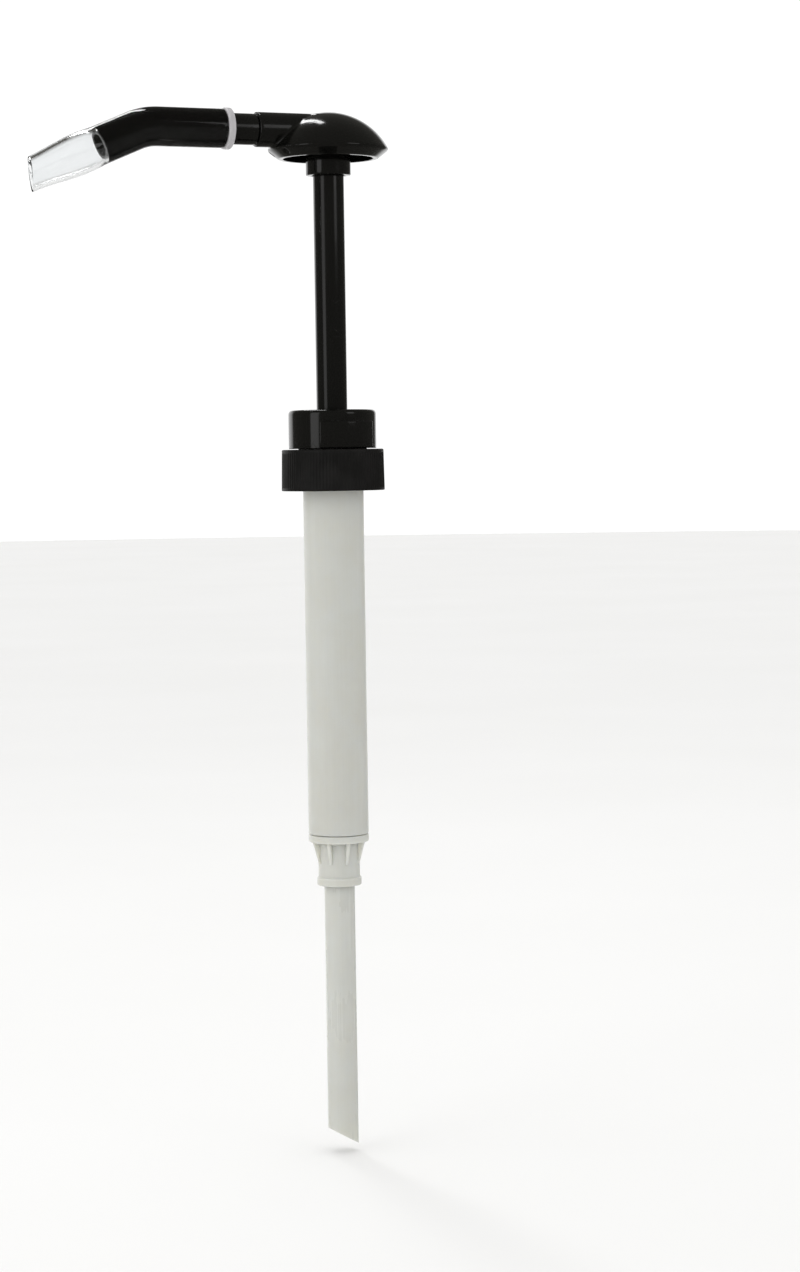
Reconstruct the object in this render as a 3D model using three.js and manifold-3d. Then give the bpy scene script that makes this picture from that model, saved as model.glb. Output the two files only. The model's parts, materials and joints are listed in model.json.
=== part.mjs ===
// Hand pump for gear oil and other thick fluids: it screws on the neck of a jug, a palm knob drives a
// hollow plunger, and the fluid leaves through the bent nozzle and its clear hose.
// Millimetres, +Z up. The origin is the middle of the face that seals on the neck of the jug.
// The nozzle points along -X.
import * as THREE from 'three';
import { mergeVertices } from 'three/addons/utils/BufferGeometryUtils.js';
import Module from 'manifold-3d';

const wasm = await Module();
wasm.setup();

// ---------------------------------------------------------------- driving dimensions
const FIT = 0.3; // room between two pieces that touch
const RUN = 0.3; // radial room of a sliding or turning piece

const STROKE = 95;
const STEM_D = 12.7;
const STEM_WALL = 1.9;
const BARREL_BORE = 21.4;
const BARREL_WALL = 1.8;

const CLOSURE_D = 42;
const CLOSURE_FLARE = 0.3; // how far the skirt leans out by its foot
const CLOSURE_H = 17;
const CLOSURE_TOP_WALL = 2.2;
const CLOSURE_BORE = 38.2;
const THREAD_DEPTH = 1;
const THREAD_PITCH = 4.23;
const THREAD_TURNS = 1.25;

const GASKET_T = 1.5;
const FLANGE_D = 36;
const FLANGE_T = 2;
const BOSS_WALL = 3.5; // wall of the barrel where the collar grips it

const COLLAR_D = 36.2;
const COLLAR_H = 15.9;
const COLLAR_TOP_WALL = 2.6;
const COLLAR_EDGE = 1.5;
const LUG_H = 11.2;
const LUG_PROUD = 1.2;
const LUG_SPAN = 77; // degrees
const LUG_COUNT = 2;

const WIPER_H = 4;
const WIPER_WALL = 2.4;
const BUSH_FLOOR = 1.2; // under the wiper's recess

const KNOB_R = 24.8;
const KNOB_CROWN_R = 28; // radius of the round top
const KNOB_WALL = 2.3;
const KNOB_TOP_ABOVE_CLOSURE = 137.7;
const KNOB_CHAMFER = 4.3; // the slope in under the edge
const KNOB_EDGE = 0.8;
const HUB_WALL = 2.6;
const HUB_DROP = 6.8; // how far the hub hangs below the rim
const RIB_COUNT = 6;
const RIB_T = 1.8;
const RIB_GAP = 3; // how far the ribs stop above the rim
const DIMPLE_D = 2.4;
const DIMPLE_DEPTH = 1;
const DIMPLE_ANGLE = 20; // degrees each side of the nozzle

const NOZZLE_D = 12.7;
const NOZZLE_WALL = 1.65;
const NOZZLE_DROP = 7.8; // nozzle's axis below the top of the knob
const NECK_WALL = 1.7;
const NECK_REACH = 31.8; // from the plunger's axis to the face of the neck
const SPIGOT_D = 10.2;
const SPIGOT_WALL = 1.5;
const SPIGOT_L = 14;
const BEND_REACH = 78.4; // from the plunger's axis to the corner of the bend
const BEND_ANGLE = 23; // degrees
const BEND_R = 24;
const TIP_L = 21; // from the corner of the bend to the tip

const STOP_RING_REACH = 42.6; // from the plunger's axis to the ring that the hose butts on
const STOP_RING_W = 3;
const STOP_RING_WALL = 1.75;

const HOSE_WALL = 1.25;
const HOSE_END = 126.2;
const HOSE_TAPER_L = 24;
const HOSE_END_SHARE = 0.8; // width at the cut end as a share of the full width

const O_RING_D = 1.2;

const PISTON_L = 25.5;
const PISTON_SOCKET = 9;
const CUP_H = 6;
const PISTON_CORE_WALL = 1.9; // round the valve chamber, inside the cup seal
const NUT_H = 4.7;
const OUTLET_BALL_D = 8;
const OUTLET_PORT_D = 6;
const OUTLET_BALL_TRAVEL = 2.5;
const CAGE_T = 2;
const CAGE_HUB_D = 3.2;
const CAGE_SPOKE_T = 1.4;

const WIRE_D = 1.3;
const SPRING_ROOM = 1.7; // between the coil and the wall of the barrel
const SPRING_TURNS = 15;
const SPRING_SPARE = 3.4; // room left between the coils when the plunger is down
const WASHER_T = 1;

const INLET_BALL_D = 9.5;
const INLET_PORT_D = 7.2;
const INLET_BALL_TRAVEL = 3;
const FOOT_PLUG_L = 7;
const FOOT_FLANGE_T = 3;
const FOOT_PORT_L = 5;
const FOOT_WALL = 2;
const DIP_SOCKET_L = 9.7;
const DIP_D = 12.7;
const DIP_WALL = 1.6;
const DIP_L = 119;
const DIP_CUT = 30; // degrees
const VENT_D = 2;

// facets around
const AROUND = 32;
const AROUND_SMALL = 24;
const AROUND_TUBE = 16;

// ---------------------------------------------------------------- worked out from them
const stemR = STEM_D / 2;
const stemBore = stemR - STEM_WALL;
const slideR = stemR + RUN;
const barrelIn = BARREL_BORE / 2;
const barrelR = barrelIn + BARREL_WALL;
const bossR = barrelIn + BOSS_WALL;
const pistonR = barrelIn - RUN;
const springR = barrelIn - SPRING_ROOM;

const flangeBottom = GASKET_T + FIT;
const flangeTop = flangeBottom + FLANGE_T;
const closureCeiling = flangeTop + FIT;
const closureTop = closureCeiling + CLOSURE_TOP_WALL;
const closureFoot = closureTop - CLOSURE_H;
const collarBottom = closureTop + FIT;
const collarTop = collarBottom + COLLAR_H;
const collarCeiling = collarTop - COLLAR_TOP_WALL;
const bushTop = collarCeiling - FIT;
const recessBottom = bushTop - WIPER_H - FIT;
const bossTop = recessBottom - BUSH_FLOOR - FIT;
const bushBottom = 1;

const knobTop = closureTop + KNOB_TOP_ABOVE_CLOSURE;
const nozzleZ = knobTop - NOZZLE_DROP;
const neckR = SPIGOT_D / 2 + FIT + NECK_WALL;
const nozzleR = NOZZLE_D / 2;
const crownDrop = KNOB_CROWN_R - Math.sqrt(KNOB_CROWN_R ** 2 - KNOB_R ** 2);
const knobEdge = knobTop - crownDrop;
const knobRim = knobEdge - KNOB_CHAMFER * 0.9;
const rimR = KNOB_R - KNOB_CHAMFER;
const hubR = slideR + HUB_WALL;
const hubBottom = knobRim - HUB_DROP;
const stemTop = nozzleZ - neckR - 0.5;
const oRingZ = hubBottom + 5;

const pistonTop = bushBottom - 0.5;
const pistonBottom = pistonTop - PISTON_L;
const stemBottom = pistonTop - PISTON_SOCKET + FIT;
const nutTop = pistonBottom + NUT_H;
const springTop = pistonBottom - FIT;
const springSolid = (SPRING_TURNS + 1) * WIRE_D;
const springRest = springSolid + SPRING_SPARE + STROKE;
const springBottom = springTop - springRest;
const washerTop = springBottom - FIT;
const footTop = washerTop - WASHER_T - FIT;
const barrelBottom = footTop - FOOT_PLUG_L;

const inletCageTop = footTop;
const inletCageBottom = footTop - CAGE_T;
const inletBallR = INLET_BALL_D / 2;
const inletPortR = INLET_PORT_D / 2;
const inletBallTopZ = inletCageBottom - FIT - 0.4;
const inletBallZ = inletBallTopZ - INLET_BALL_TRAVEL - inletBallR;
const inletSeatZ = inletBallZ - FIT - Math.sqrt(inletBallR ** 2 - inletPortR ** 2);
const dipSocketTop = inletSeatZ - FOOT_PORT_L;
const footBottom = dipSocketTop - DIP_SOCKET_L;
const dipTop = dipSocketTop - FIT;
const dipBottom = dipTop - DIP_L;

const hoseIn = nozzleR + RUN;
const hoseR = hoseIn + HOSE_WALL;
const hoseStart = STOP_RING_REACH + STOP_RING_W + FIT;

// ---------------------------------------------------------------- geometry to solids and back
function closedMesh(geometry) {
  const bare = geometry.index ? geometry.toNonIndexed() : geometry.clone();
  bare.deleteAttribute('normal');
  bare.deleteAttribute('uv');
  const merged = mergeVertices(bare, 1e-4);
  const place = merged.attributes.position;
  const index = merged.index.array;
  const corners = [];
  let volume = 0;
  for (let i = 0; i < index.length; i += 3) {
    const [a, b, c] = [index[i], index[i + 1], index[i + 2]];
    if (a === b || b === c || c === a) continue;
    corners.push(a, b, c);
    const [p, q, r] = [a, b, c].map((k) => new THREE.Vector3().fromBufferAttribute(place, k));
    volume += p.dot(q.cross(r));
  }
  if (volume < 0) corners.reverse();
  return new wasm.Mesh({
    numProp: 3,
    vertProperties: Float32Array.from(place.array),
    triVerts: Uint32Array.from(corners),
  });
}

function solid(geometry) {
  return new wasm.Manifold(closedMesh(geometry));
}

function named(name, body, look) {
  const mesh = body.getMesh();
  const geometry = new THREE.BufferGeometry();
  geometry.setAttribute('position', new THREE.BufferAttribute(mesh.vertProperties, 3));
  geometry.setIndex(new THREE.BufferAttribute(mesh.triVerts, 1));
  geometry.computeVertexNormals();
  const piece = new THREE.Mesh(geometry, new THREE.MeshStandardMaterial(look));
  piece.name = name;
  return piece;
}

// ---------------------------------------------------------------- shapes
// A solid turned about the Z axis from [radius, height] points. A profile that leaves the axis free is
// closed on itself.
function turned(profile, around = AROUND) {
  const points = profile.map(([r, z]) => new THREE.Vector2(r, z));
  const last = profile[profile.length - 1];
  if (profile[0][0] > 0 || last[0] > 0) points.push(points[0].clone());
  return solid(new THREE.LatheGeometry(points, around).rotateX(Math.PI / 2));
}

function sleeve(outer, inner, bottom, top, around = AROUND) {
  return turned([[inner, bottom], [outer, bottom], [outer, top], [inner, top]], around);
}

function rod(radius, bottom, top, around = AROUND_SMALL) {
  return turned([[0, bottom], [radius, bottom], [radius, top], [0, top]], around);
}

function ball(radius, z) {
  const geometry = new THREE.SphereGeometry(radius, AROUND_TUBE, AROUND_TUBE / 2);
  return solid(geometry.rotateX(Math.PI / 2).translate(0, 0, z));
}

function block(x0, x1, y0, y1, z0, z1) {
  const geometry = new THREE.BoxGeometry(x1 - x0, y1 - y0, z1 - z0);
  return solid(geometry.translate((x0 + x1) / 2, (y0 + y1) / 2, (z0 + z1) / 2));
}

function ring(radius, sectionR, z, around = AROUND_SMALL) {
  const profile = [];
  const corners = 6;
  for (let i = 0; i < corners; i += 1) {
    const turn = (i / corners) * 2 * Math.PI;
    profile.push([radius + sectionR * Math.cos(turn), z + sectionR * Math.sin(turn)]);
  }
  return turned(profile, around);
}

// A rod along -X at the nozzle's height, between two distances from the plunger's axis.
function sideRod(radius, near, far, around = AROUND_SMALL) {
  return rod(radius, near, far, around).rotate([0, -90, 0]).translate([0, 0, nozzleZ]);
}

// The line that the nozzle and its hose follow: straight out, round the bend, and straight on.
class SpoutLine extends THREE.Curve {
  constructor(near, far) {
    super();
    this.bend = THREE.MathUtils.degToRad(BEND_ANGLE);
    const corner = BEND_R * Math.tan(this.bend / 2);
    this.near = near;
    this.straight = BEND_REACH - corner - near;
    this.arc = BEND_R * this.bend;
    this.total = this.straight + this.arc + far - corner;
  }

  getPoint(t, target = new THREE.Vector3()) {
    const run = t * this.total;
    const swept = THREE.MathUtils.clamp((run - this.straight) / this.arc, 0, 1) * this.bend;
    const past = Math.max(run - this.straight - this.arc, 0);
    const reach = Math.min(run, this.straight) + BEND_R * Math.sin(swept) + past * Math.cos(swept);
    const fall = BEND_R * (1 - Math.cos(swept)) + past * Math.sin(swept);
    return target.set(-this.near - reach, 0, nozzleZ - fall);
  }
}

function roundSection(outer, inner) {
  const section = new THREE.Shape().absarc(0, 0, outer, 0, 2 * Math.PI);
  if (inner) section.holes.push(new THREE.Path().absarc(0, 0, inner, 0, 2 * Math.PI, true));
  return section;
}

function along(line, section, steps, sides = AROUND_TUBE) {
  return new THREE.ExtrudeGeometry(section, {
    steps,
    extrudePath: line,
    curveSegments: sides / 2,
    bevelEnabled: false,
  });
}

// ---------------------------------------------------------------- looks
const looks = {
  glossBlack: { color: 0x0b0b0c, roughness: 0.22, metalness: 0 },
  mattBlack: { color: 0x141416, roughness: 0.6, metalness: 0 },
  natural: { color: 0xdfe0d8, roughness: 0.42, metalness: 0 },
  clear: { color: 0xe9edef, roughness: 0.12, metalness: 0 },
  steel: { color: 0xb9bbbd, roughness: 0.28, metalness: 1 },
  rubber: { color: 0x1a1a1b, roughness: 0.8, metalness: 0 },
  white: { color: 0xe6e4dc, roughness: 0.5, metalness: 0 },
};

// ---------------------------------------------------------------- plunger: knob, nozzle, hose, stem
function crownProfile(radius, top, edge, points) {
  const profile = [];
  const most = Math.asin(edge / radius);
  for (let i = points; i >= 0; i -= 1) {
    const turn = (most * i) / points;
    profile.push([radius * Math.sin(turn), top - radius * (1 - Math.cos(turn))]);
  }
  return profile;
}

function knobDome() {
  const outer = [
    [0, knobRim],
    [rimR, knobRim],
    [KNOB_R - KNOB_EDGE * 0.4, knobEdge - KNOB_EDGE],
    ...crownProfile(KNOB_CROWN_R, knobTop, KNOB_R, 6),
  ];
  const inCrown = KNOB_CROWN_R - KNOB_WALL;
  const inEdge = KNOB_R - KNOB_WALL * 1.3;
  const inner = [
    [0, knobRim - 1],
    [rimR - KNOB_WALL, knobRim - 1],
    [rimR - KNOB_WALL, knobRim],
    ...crownProfile(inCrown, knobTop - KNOB_WALL, inEdge, 4),
  ];
  return { dome: turned(outer), hollow: turned(inner) };
}

function knobRib(angle) {
  const rib = block(hubR - 0.6, KNOB_R, -RIB_T / 2, RIB_T / 2, knobRim + RIB_GAP, knobTop);
  return rib.rotate([0, 0, angle]);
}

function knobDimple(side) {
  const floor = rimR + KNOB_CHAMFER * 0.5;
  const pin = rod(DIMPLE_D / 2, floor - DIMPLE_DEPTH, KNOB_R + 2, 12).rotate([0, -90, 0]);
  const height = (knobRim + knobEdge) / 2;
  return pin.translate([0, 0, height]).rotate([0, 0, side * DIMPLE_ANGLE]);
}

function knob() {
  const { dome, hollow } = knobDome();
  let shell = dome.subtract(hollow);
  const hub = rod(hubR, hubBottom, knobTop - KNOB_WALL);
  shell = shell.add(hub);
  for (let i = 0; i < RIB_COUNT; i += 1) {
    const angle = (360 / RIB_COUNT) * (i + 0.5);
    shell = shell.add(knobRib(angle).intersect(dome));
  }
  shell = shell.add(sideRod(neckR, 0, NECK_REACH));
  shell = shell.subtract(sideRod(SPIGOT_D / 2 + FIT, NECK_REACH - SPIGOT_L - FIT, NECK_REACH + 1));
  shell = shell.subtract(sideRod(SPIGOT_D / 2 - SPIGOT_WALL, 0, NECK_REACH));
  shell = shell.subtract(rod(stemBore, hubBottom - 1, nozzleZ));
  shell = shell.subtract(rod(slideR, hubBottom - 1, stemTop + FIT));
  shell = shell.subtract(sleeve(slideR + O_RING_D + RUN, stemR, oRingZ - O_RING_D, oRingZ + O_RING_D));
  for (const side of [-1, 1]) shell = shell.subtract(knobDimple(side));
  return named('knob', shell, looks.glossBlack);
}

function stemORing() {
  return named('stem_o_ring', ring(slideR + O_RING_D / 2, O_RING_D / 2, oRingZ), looks.rubber);
}

function nozzle() {
  const line = new SpoutLine(NECK_REACH + FIT, TIP_L);
  const outside = solid(along(line, roundSection(nozzleR, nozzleR - NOZZLE_WALL), 14));
  const start = NECK_REACH + FIT;
  const collar = sideRod(nozzleR - 0.05, start, start + 3);
  const spigot = sideRod(SPIGOT_D / 2, NECK_REACH - SPIGOT_L, start + 1);
  const bore = sideRod(SPIGOT_D / 2 - SPIGOT_WALL, 0, start + 4);
  return named('nozzle', outside.add(collar).add(spigot).subtract(bore), looks.glossBlack);
}

function hoseStopRing() {
  const far = STOP_RING_REACH + STOP_RING_W;
  const band = sideRod(hoseIn + STOP_RING_WALL, STOP_RING_REACH, far);
  const hole = sideRod(hoseIn, STOP_RING_REACH - 1, far + 1);
  return named('hose_stop_ring', band.subtract(hole), looks.white);
}

// Past the nozzle's tip the soft hose narrows towards its cut end.
function outletHose() {
  const spare = 6;
  const far = (HOSE_END - BEND_REACH) / Math.cos(THREE.MathUtils.degToRad(BEND_ANGLE)) + spare;
  const line = new SpoutLine(hoseStart, far);
  const geometry = along(line, roundSection(hoseR, hoseIn), 18);
  const end = line.getPoint(1);
  const back = line.getPoint(0.99).sub(end).normalize();
  const place = geometry.attributes.position;
  const point = new THREE.Vector3();
  for (let i = 0; i < place.count; i += 1) {
    point.fromBufferAttribute(place, i);
    const fromEnd = point.clone().sub(end).dot(back);
    const share = THREE.MathUtils.clamp(1 - (fromEnd - spare) / HOSE_TAPER_L, 0, 1);
    const width = 1 - (1 - HOSE_END_SHARE) * share;
    const axis = end.clone().addScaledVector(back, fromEnd);
    if (share > 0) point.sub(axis).multiplyScalar(width).add(axis);
    place.setXYZ(i, point.x, point.y, point.z);
  }
  const reach = BEND_REACH * 2;
  const cut = block(-HOSE_END - reach, -HOSE_END, -hoseR * 2, hoseR * 2, 0, knobTop * 2);
  return named('outlet_hose', solid(geometry).subtract(cut), looks.clear);
}

function stem() {
  const edge = 0.5;
  const profile = [
    [stemBore, stemBottom],
    [stemR - edge, stemBottom],
    [stemR, stemBottom + edge],
    [stemR, stemTop - edge],
    [stemR - edge, stemTop],
    [stemBore, stemTop],
  ];
  return named('plunger_stem', turned(profile, AROUND_SMALL), looks.glossBlack);
}

// ---------------------------------------------------------------- piston and its outlet valve
const cageR = slideR - FIT;
const chamberR = cageR - 0.9;
const outletCageTop = stemBottom - FIT;
const outletCageBottom = outletCageTop - CAGE_T;
const chamberTop = outletCageBottom - FIT;
const outletBallR = OUTLET_BALL_D / 2;
const outletPortR = OUTLET_PORT_D / 2;
const outletBallZ = chamberTop - FIT - OUTLET_BALL_TRAVEL - outletBallR;
const outletSeatZ = outletBallZ - FIT - Math.sqrt(outletBallR ** 2 - outletPortR ** 2);
const cupR = pistonR;
const grooveR = chamberR + PISTON_CORE_WALL;
const cupIn = grooveR + RUN;
const cupLip = (cupR - cupIn) * 0.3;
const cupBottom = nutTop + FIT;
const cupTop = cupBottom + CUP_H;
const landR = pistonR - 0.2;
const shankR = outletPortR + 3.4;

function piston() {
  const grooveTop = cupTop + FIT;
  const core = turned([
    [outletPortR, pistonBottom],
    [shankR, pistonBottom],
    [shankR, nutTop + FIT / 2],
    [grooveR, nutTop + FIT / 2],
    [grooveR, grooveTop],
    [landR, grooveTop],
    [landR, pistonTop],
    [slideR, pistonTop],
    [slideR, chamberTop],
    [chamberR, chamberTop],
    [chamberR, outletSeatZ + chamberR - outletPortR],
    [outletPortR, outletSeatZ],
  ]);
  return named('piston', core, looks.white);
}

function cupSeal() {
  const wing = cupBottom + CUP_H * 0.65;
  const cup = turned([
    [cupIn, cupBottom],
    [cupIn + cupLip, cupBottom],
    [cupIn + cupLip * 1.3, wing],
    [cupR - cupLip * 1.3, wing],
    [cupR - cupLip, cupBottom],
    [cupR, cupBottom],
    [cupR, cupTop],
    [cupIn, cupTop],
  ]);
  return named('piston_cup_seal', cup, looks.rubber);
}

function pistonNut() {
  const nutR = landR - 0.4;
  return named('piston_nut', sleeve(nutR, shankR + FIT, pistonBottom, nutTop), looks.white);
}

// A rim with spokes that holds a valve ball under it and lets the fluid past.
function ballCage(outer, bottom, top) {
  const spokes = 3;
  let cage = sleeve(outer, outer - 1, bottom, top, AROUND_SMALL);
  cage = cage.add(rod(CAGE_HUB_D / 2, bottom, top, 12));
  for (let i = 0; i < spokes; i += 1) {
    const spoke = block(0, outer - 0.5, -CAGE_SPOKE_T / 2, CAGE_SPOKE_T / 2, bottom, top);
    cage = cage.add(spoke.rotate([0, 0, (360 / spokes) * i]));
  }
  return cage;
}

function outletCage() {
  const cage = ballCage(cageR, outletCageBottom, outletCageTop);
  return named('outlet_ball_cage', cage, looks.white);
}

function outletBall() {
  return named('outlet_ball', ball(outletBallR, outletBallZ), looks.steel);
}

// ---------------------------------------------------------------- return spring
class Helix extends THREE.Curve {
  constructor(radius, bottom, top, turns) {
    super();
    Object.assign(this, { radius, bottom, top, turns });
  }

  // The first and the last turn lie almost closed, as the flat ends of a coil spring do.
  getPoint(t, target = new THREE.Vector3()) {
    const closed = 1 / this.turns;
    const ends = Math.min(t, closed) + Math.max(t - 1 + closed, 0);
    const height = this.top - this.bottom;
    const endRise = (WIRE_D * 1.15) / closed;
    const middle = (height - 2 * WIRE_D * 1.15) / (1 - 2 * closed);
    const rise = ends * endRise + (t - ends) * middle;
    const turn = 2 * Math.PI * this.turns * t;
    return target.set(this.radius * Math.cos(turn), this.radius * Math.sin(turn), this.bottom + rise);
  }
}

function returnSpring() {
  const wire = WIRE_D / 2;
  const line = new Helix(springR - wire, springBottom + wire, springTop - wire, SPRING_TURNS);
  const stepsPerTurn = 10;
  const coil = solid(along(line, roundSection(wire), SPRING_TURNS * stepsPerTurn, 6));
  return named('return_spring', coil, looks.steel);
}

function springWasher() {
  const inner = springR - WIRE_D * 2.5;
  return named('spring_washer', sleeve(pistonR, inner, washerTop - WASHER_T, washerTop), looks.steel);
}

// ---------------------------------------------------------------- barrel and gland
function barrel() {
  const body = turned([
    [barrelIn, barrelBottom],
    [barrelR, barrelBottom],
    [barrelR, flangeBottom],
    [FLANGE_D / 2, flangeBottom],
    [FLANGE_D / 2, flangeTop],
    [bossR, flangeTop],
    [bossR, bossTop],
    [barrelIn, bossTop],
  ]);
  const vent = rod(VENT_D / 2, 0, barrelR + 1, 10).rotate([0, 90, 0]);
  return named('barrel', body.subtract(vent.translate([0, 0, -VENT_D * 2])), looks.natural);
}

function neckGasket() {
  const gasket = sleeve(FLANGE_D / 2, barrelR + FIT, 0, GASKET_T);
  return named('neck_gasket', gasket, looks.rubber);
}

function lug(angle) {
  const outline = new THREE.Shape();
  const half = THREE.MathUtils.degToRad(LUG_SPAN / 2);
  const outer = COLLAR_D / 2 + LUG_PROUD;
  const inner = COLLAR_D / 2 - 1;
  outline.absarc(0, 0, outer, -half, half, false);
  outline.absarc(0, 0, inner, half, -half, true);
  const options = { depth: LUG_H, curveSegments: 9, bevelEnabled: false };
  const block = solid(new THREE.ExtrudeGeometry(outline, options));
  return block.translate([0, 0, collarBottom]).rotate([0, 0, angle]);
}

function collar() {
  const hole = slideR + 1;
  const radius = COLLAR_D / 2;
  let body = turned([
    [bossR + RUN, collarBottom],
    [radius, collarBottom],
    [radius, collarTop - COLLAR_EDGE],
    [radius - COLLAR_EDGE * 0.3, collarTop - COLLAR_EDGE * 0.3],
    [radius - COLLAR_EDGE, collarTop],
    [hole, collarTop],
    [hole, collarCeiling],
    [bossR + RUN, collarCeiling],
  ]);
  for (let i = 0; i < LUG_COUNT; i += 1) body = body.add(lug(90 + (360 / LUG_COUNT) * i));
  return named('gland_collar', body, looks.glossBlack);
}

const wiperR = slideR + WIPER_WALL;
function stemBush() {
  const bush = turned([
    [slideR, bushBottom],
    [pistonR, bushBottom],
    [pistonR, bossTop + FIT],
    [bossR, bossTop + FIT],
    [bossR, bushTop],
    [wiperR + FIT, bushTop],
    [wiperR + FIT, recessBottom],
    [slideR, recessBottom],
  ]);
  return named('stem_bush', bush, looks.white);
}

function stemWiper() {
  const bottom = recessBottom + FIT;
  const lip = slideR + WIPER_WALL * 0.45;
  const seal = turned([
    [slideR + 0.4, bottom],
    [wiperR, bottom],
    [wiperR, bushTop],
    [lip, bushTop],
    [lip, bushTop - WIPER_H * 0.3],
    [slideR, bushTop - WIPER_H * 0.3],
    [slideR, bushTop - WIPER_H * 0.5],
    [slideR + 0.4, bushTop - WIPER_H * 0.7],
  ]);
  return named('stem_wiper', seal, looks.rubber);
}

// ---------------------------------------------------------------- threaded closure
function closureThread() {
  const line = new Helix(CLOSURE_BORE / 2, 0, THREAD_PITCH * THREAD_TURNS, THREAD_TURNS);
  line.getPoint = (t, target = new THREE.Vector3()) => {
    const turn = 2 * Math.PI * THREAD_TURNS * t;
    const radius = CLOSURE_BORE / 2;
    return target.set(radius * Math.cos(turn), radius * Math.sin(turn), line.top * t);
  };
  const ridge = new THREE.Shape();
  ridge.absarc(0, 0, THREAD_DEPTH, 0, 2 * Math.PI);
  const steps = Math.round(AROUND_SMALL * THREAD_TURNS);
  const thread = solid(along(line, ridge, steps, 6));
  return thread.translate([0, 0, closureFoot + THREAD_DEPTH * 1.6]);
}

function closure() {
  const radius = CLOSURE_D / 2;
  const foot = radius + CLOSURE_FLARE;
  const hole = bossR + RUN;
  const edge = 0.7;
  const bore = CLOSURE_BORE / 2;
  const cap = turned([
    [bore + edge, closureFoot],
    [foot - edge, closureFoot],
    [foot, closureFoot + edge],
    [radius, closureTop - edge],
    [radius - edge, closureTop],
    [hole, closureTop],
    [hole, closureCeiling],
    [bore, closureCeiling],
    [bore, closureFoot + edge],
  ]);
  const within = rod(radius - edge, closureFoot, closureTop, AROUND);
  const thread = closureThread().intersect(within);
  return named('threaded_closure', cap.add(thread), looks.mattBlack);
}

// ---------------------------------------------------------------- foot valve and dip tube
const socketR = DIP_D / 2 + FIT;
const footCageR = inletBallR + 2.4;
const footChamberR = footCageR - 0.9;

function footValve() {
  const nose = socketR + FOOT_WALL;
  const flangeBelow = barrelBottom - FIT;
  const body = turned([
    [socketR, footBottom],
    [nose, footBottom],
    [nose, flangeBelow - FOOT_FLANGE_T],
    [barrelR, flangeBelow - FOOT_FLANGE_T],
    [barrelR, flangeBelow],
    [pistonR, flangeBelow],
    [pistonR, footTop],
    [footCageR + FIT, footTop],
    [footCageR + FIT, inletCageBottom - FIT],
    [footChamberR, inletCageBottom - FIT],
    [footChamberR, inletSeatZ + footChamberR - inletPortR],
    [inletPortR, inletSeatZ],
    [inletPortR, dipSocketTop],
    [socketR, dipSocketTop],
  ]);
  return named('foot_valve', body, looks.natural);
}

function inletCage() {
  return named('inlet_ball_cage', ballCage(footCageR, inletCageBottom, inletCageTop), looks.white);
}

function inletBall() {
  return named('inlet_ball', ball(inletBallR, inletBallZ), looks.steel);
}

function dipTube() {
  const tube = sleeve(DIP_D / 2, DIP_D / 2 - DIP_WALL, dipBottom, dipTop, AROUND_TUBE);
  const wide = DIP_D * 3;
  const cut = block(-wide, wide, -wide, wide, -wide, 0).rotate([0, DIP_CUT, 0]);
  const lift = (DIP_D / 2) * Math.tan(THREE.MathUtils.degToRad(DIP_CUT));
  return named('dip_tube', tube.subtract(cut.translate([0, 0, dipBottom + lift])), looks.natural);
}

// ---------------------------------------------------------------- the pump
const pump = new THREE.Group();
pump.add(knob(), stemORing(), nozzle(), hoseStopRing(), outletHose(), stem());
pump.add(piston(), cupSeal(), pistonNut(), outletCage(), outletBall());
pump.add(returnSpring(), springWasher());
pump.add(barrel(), neckGasket(), collar(), stemBush(), stemWiper(), closure());
pump.add(footValve(), inletCage(), inletBall(), dipTube());

export default pump;
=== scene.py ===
"""Hand pump for gear oil: the finished surfaces and materials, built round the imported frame."""
import json
from math import asin, atan2, cos, pi, radians, sin, sqrt, tan

import bmesh
import bpy
from bpy.props import FloatProperty, FloatVectorProperty, IntProperty, PointerProperty
from bpy.types import Operator, Panel, PropertyGroup
from mathutils import Matrix, Vector

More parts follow.
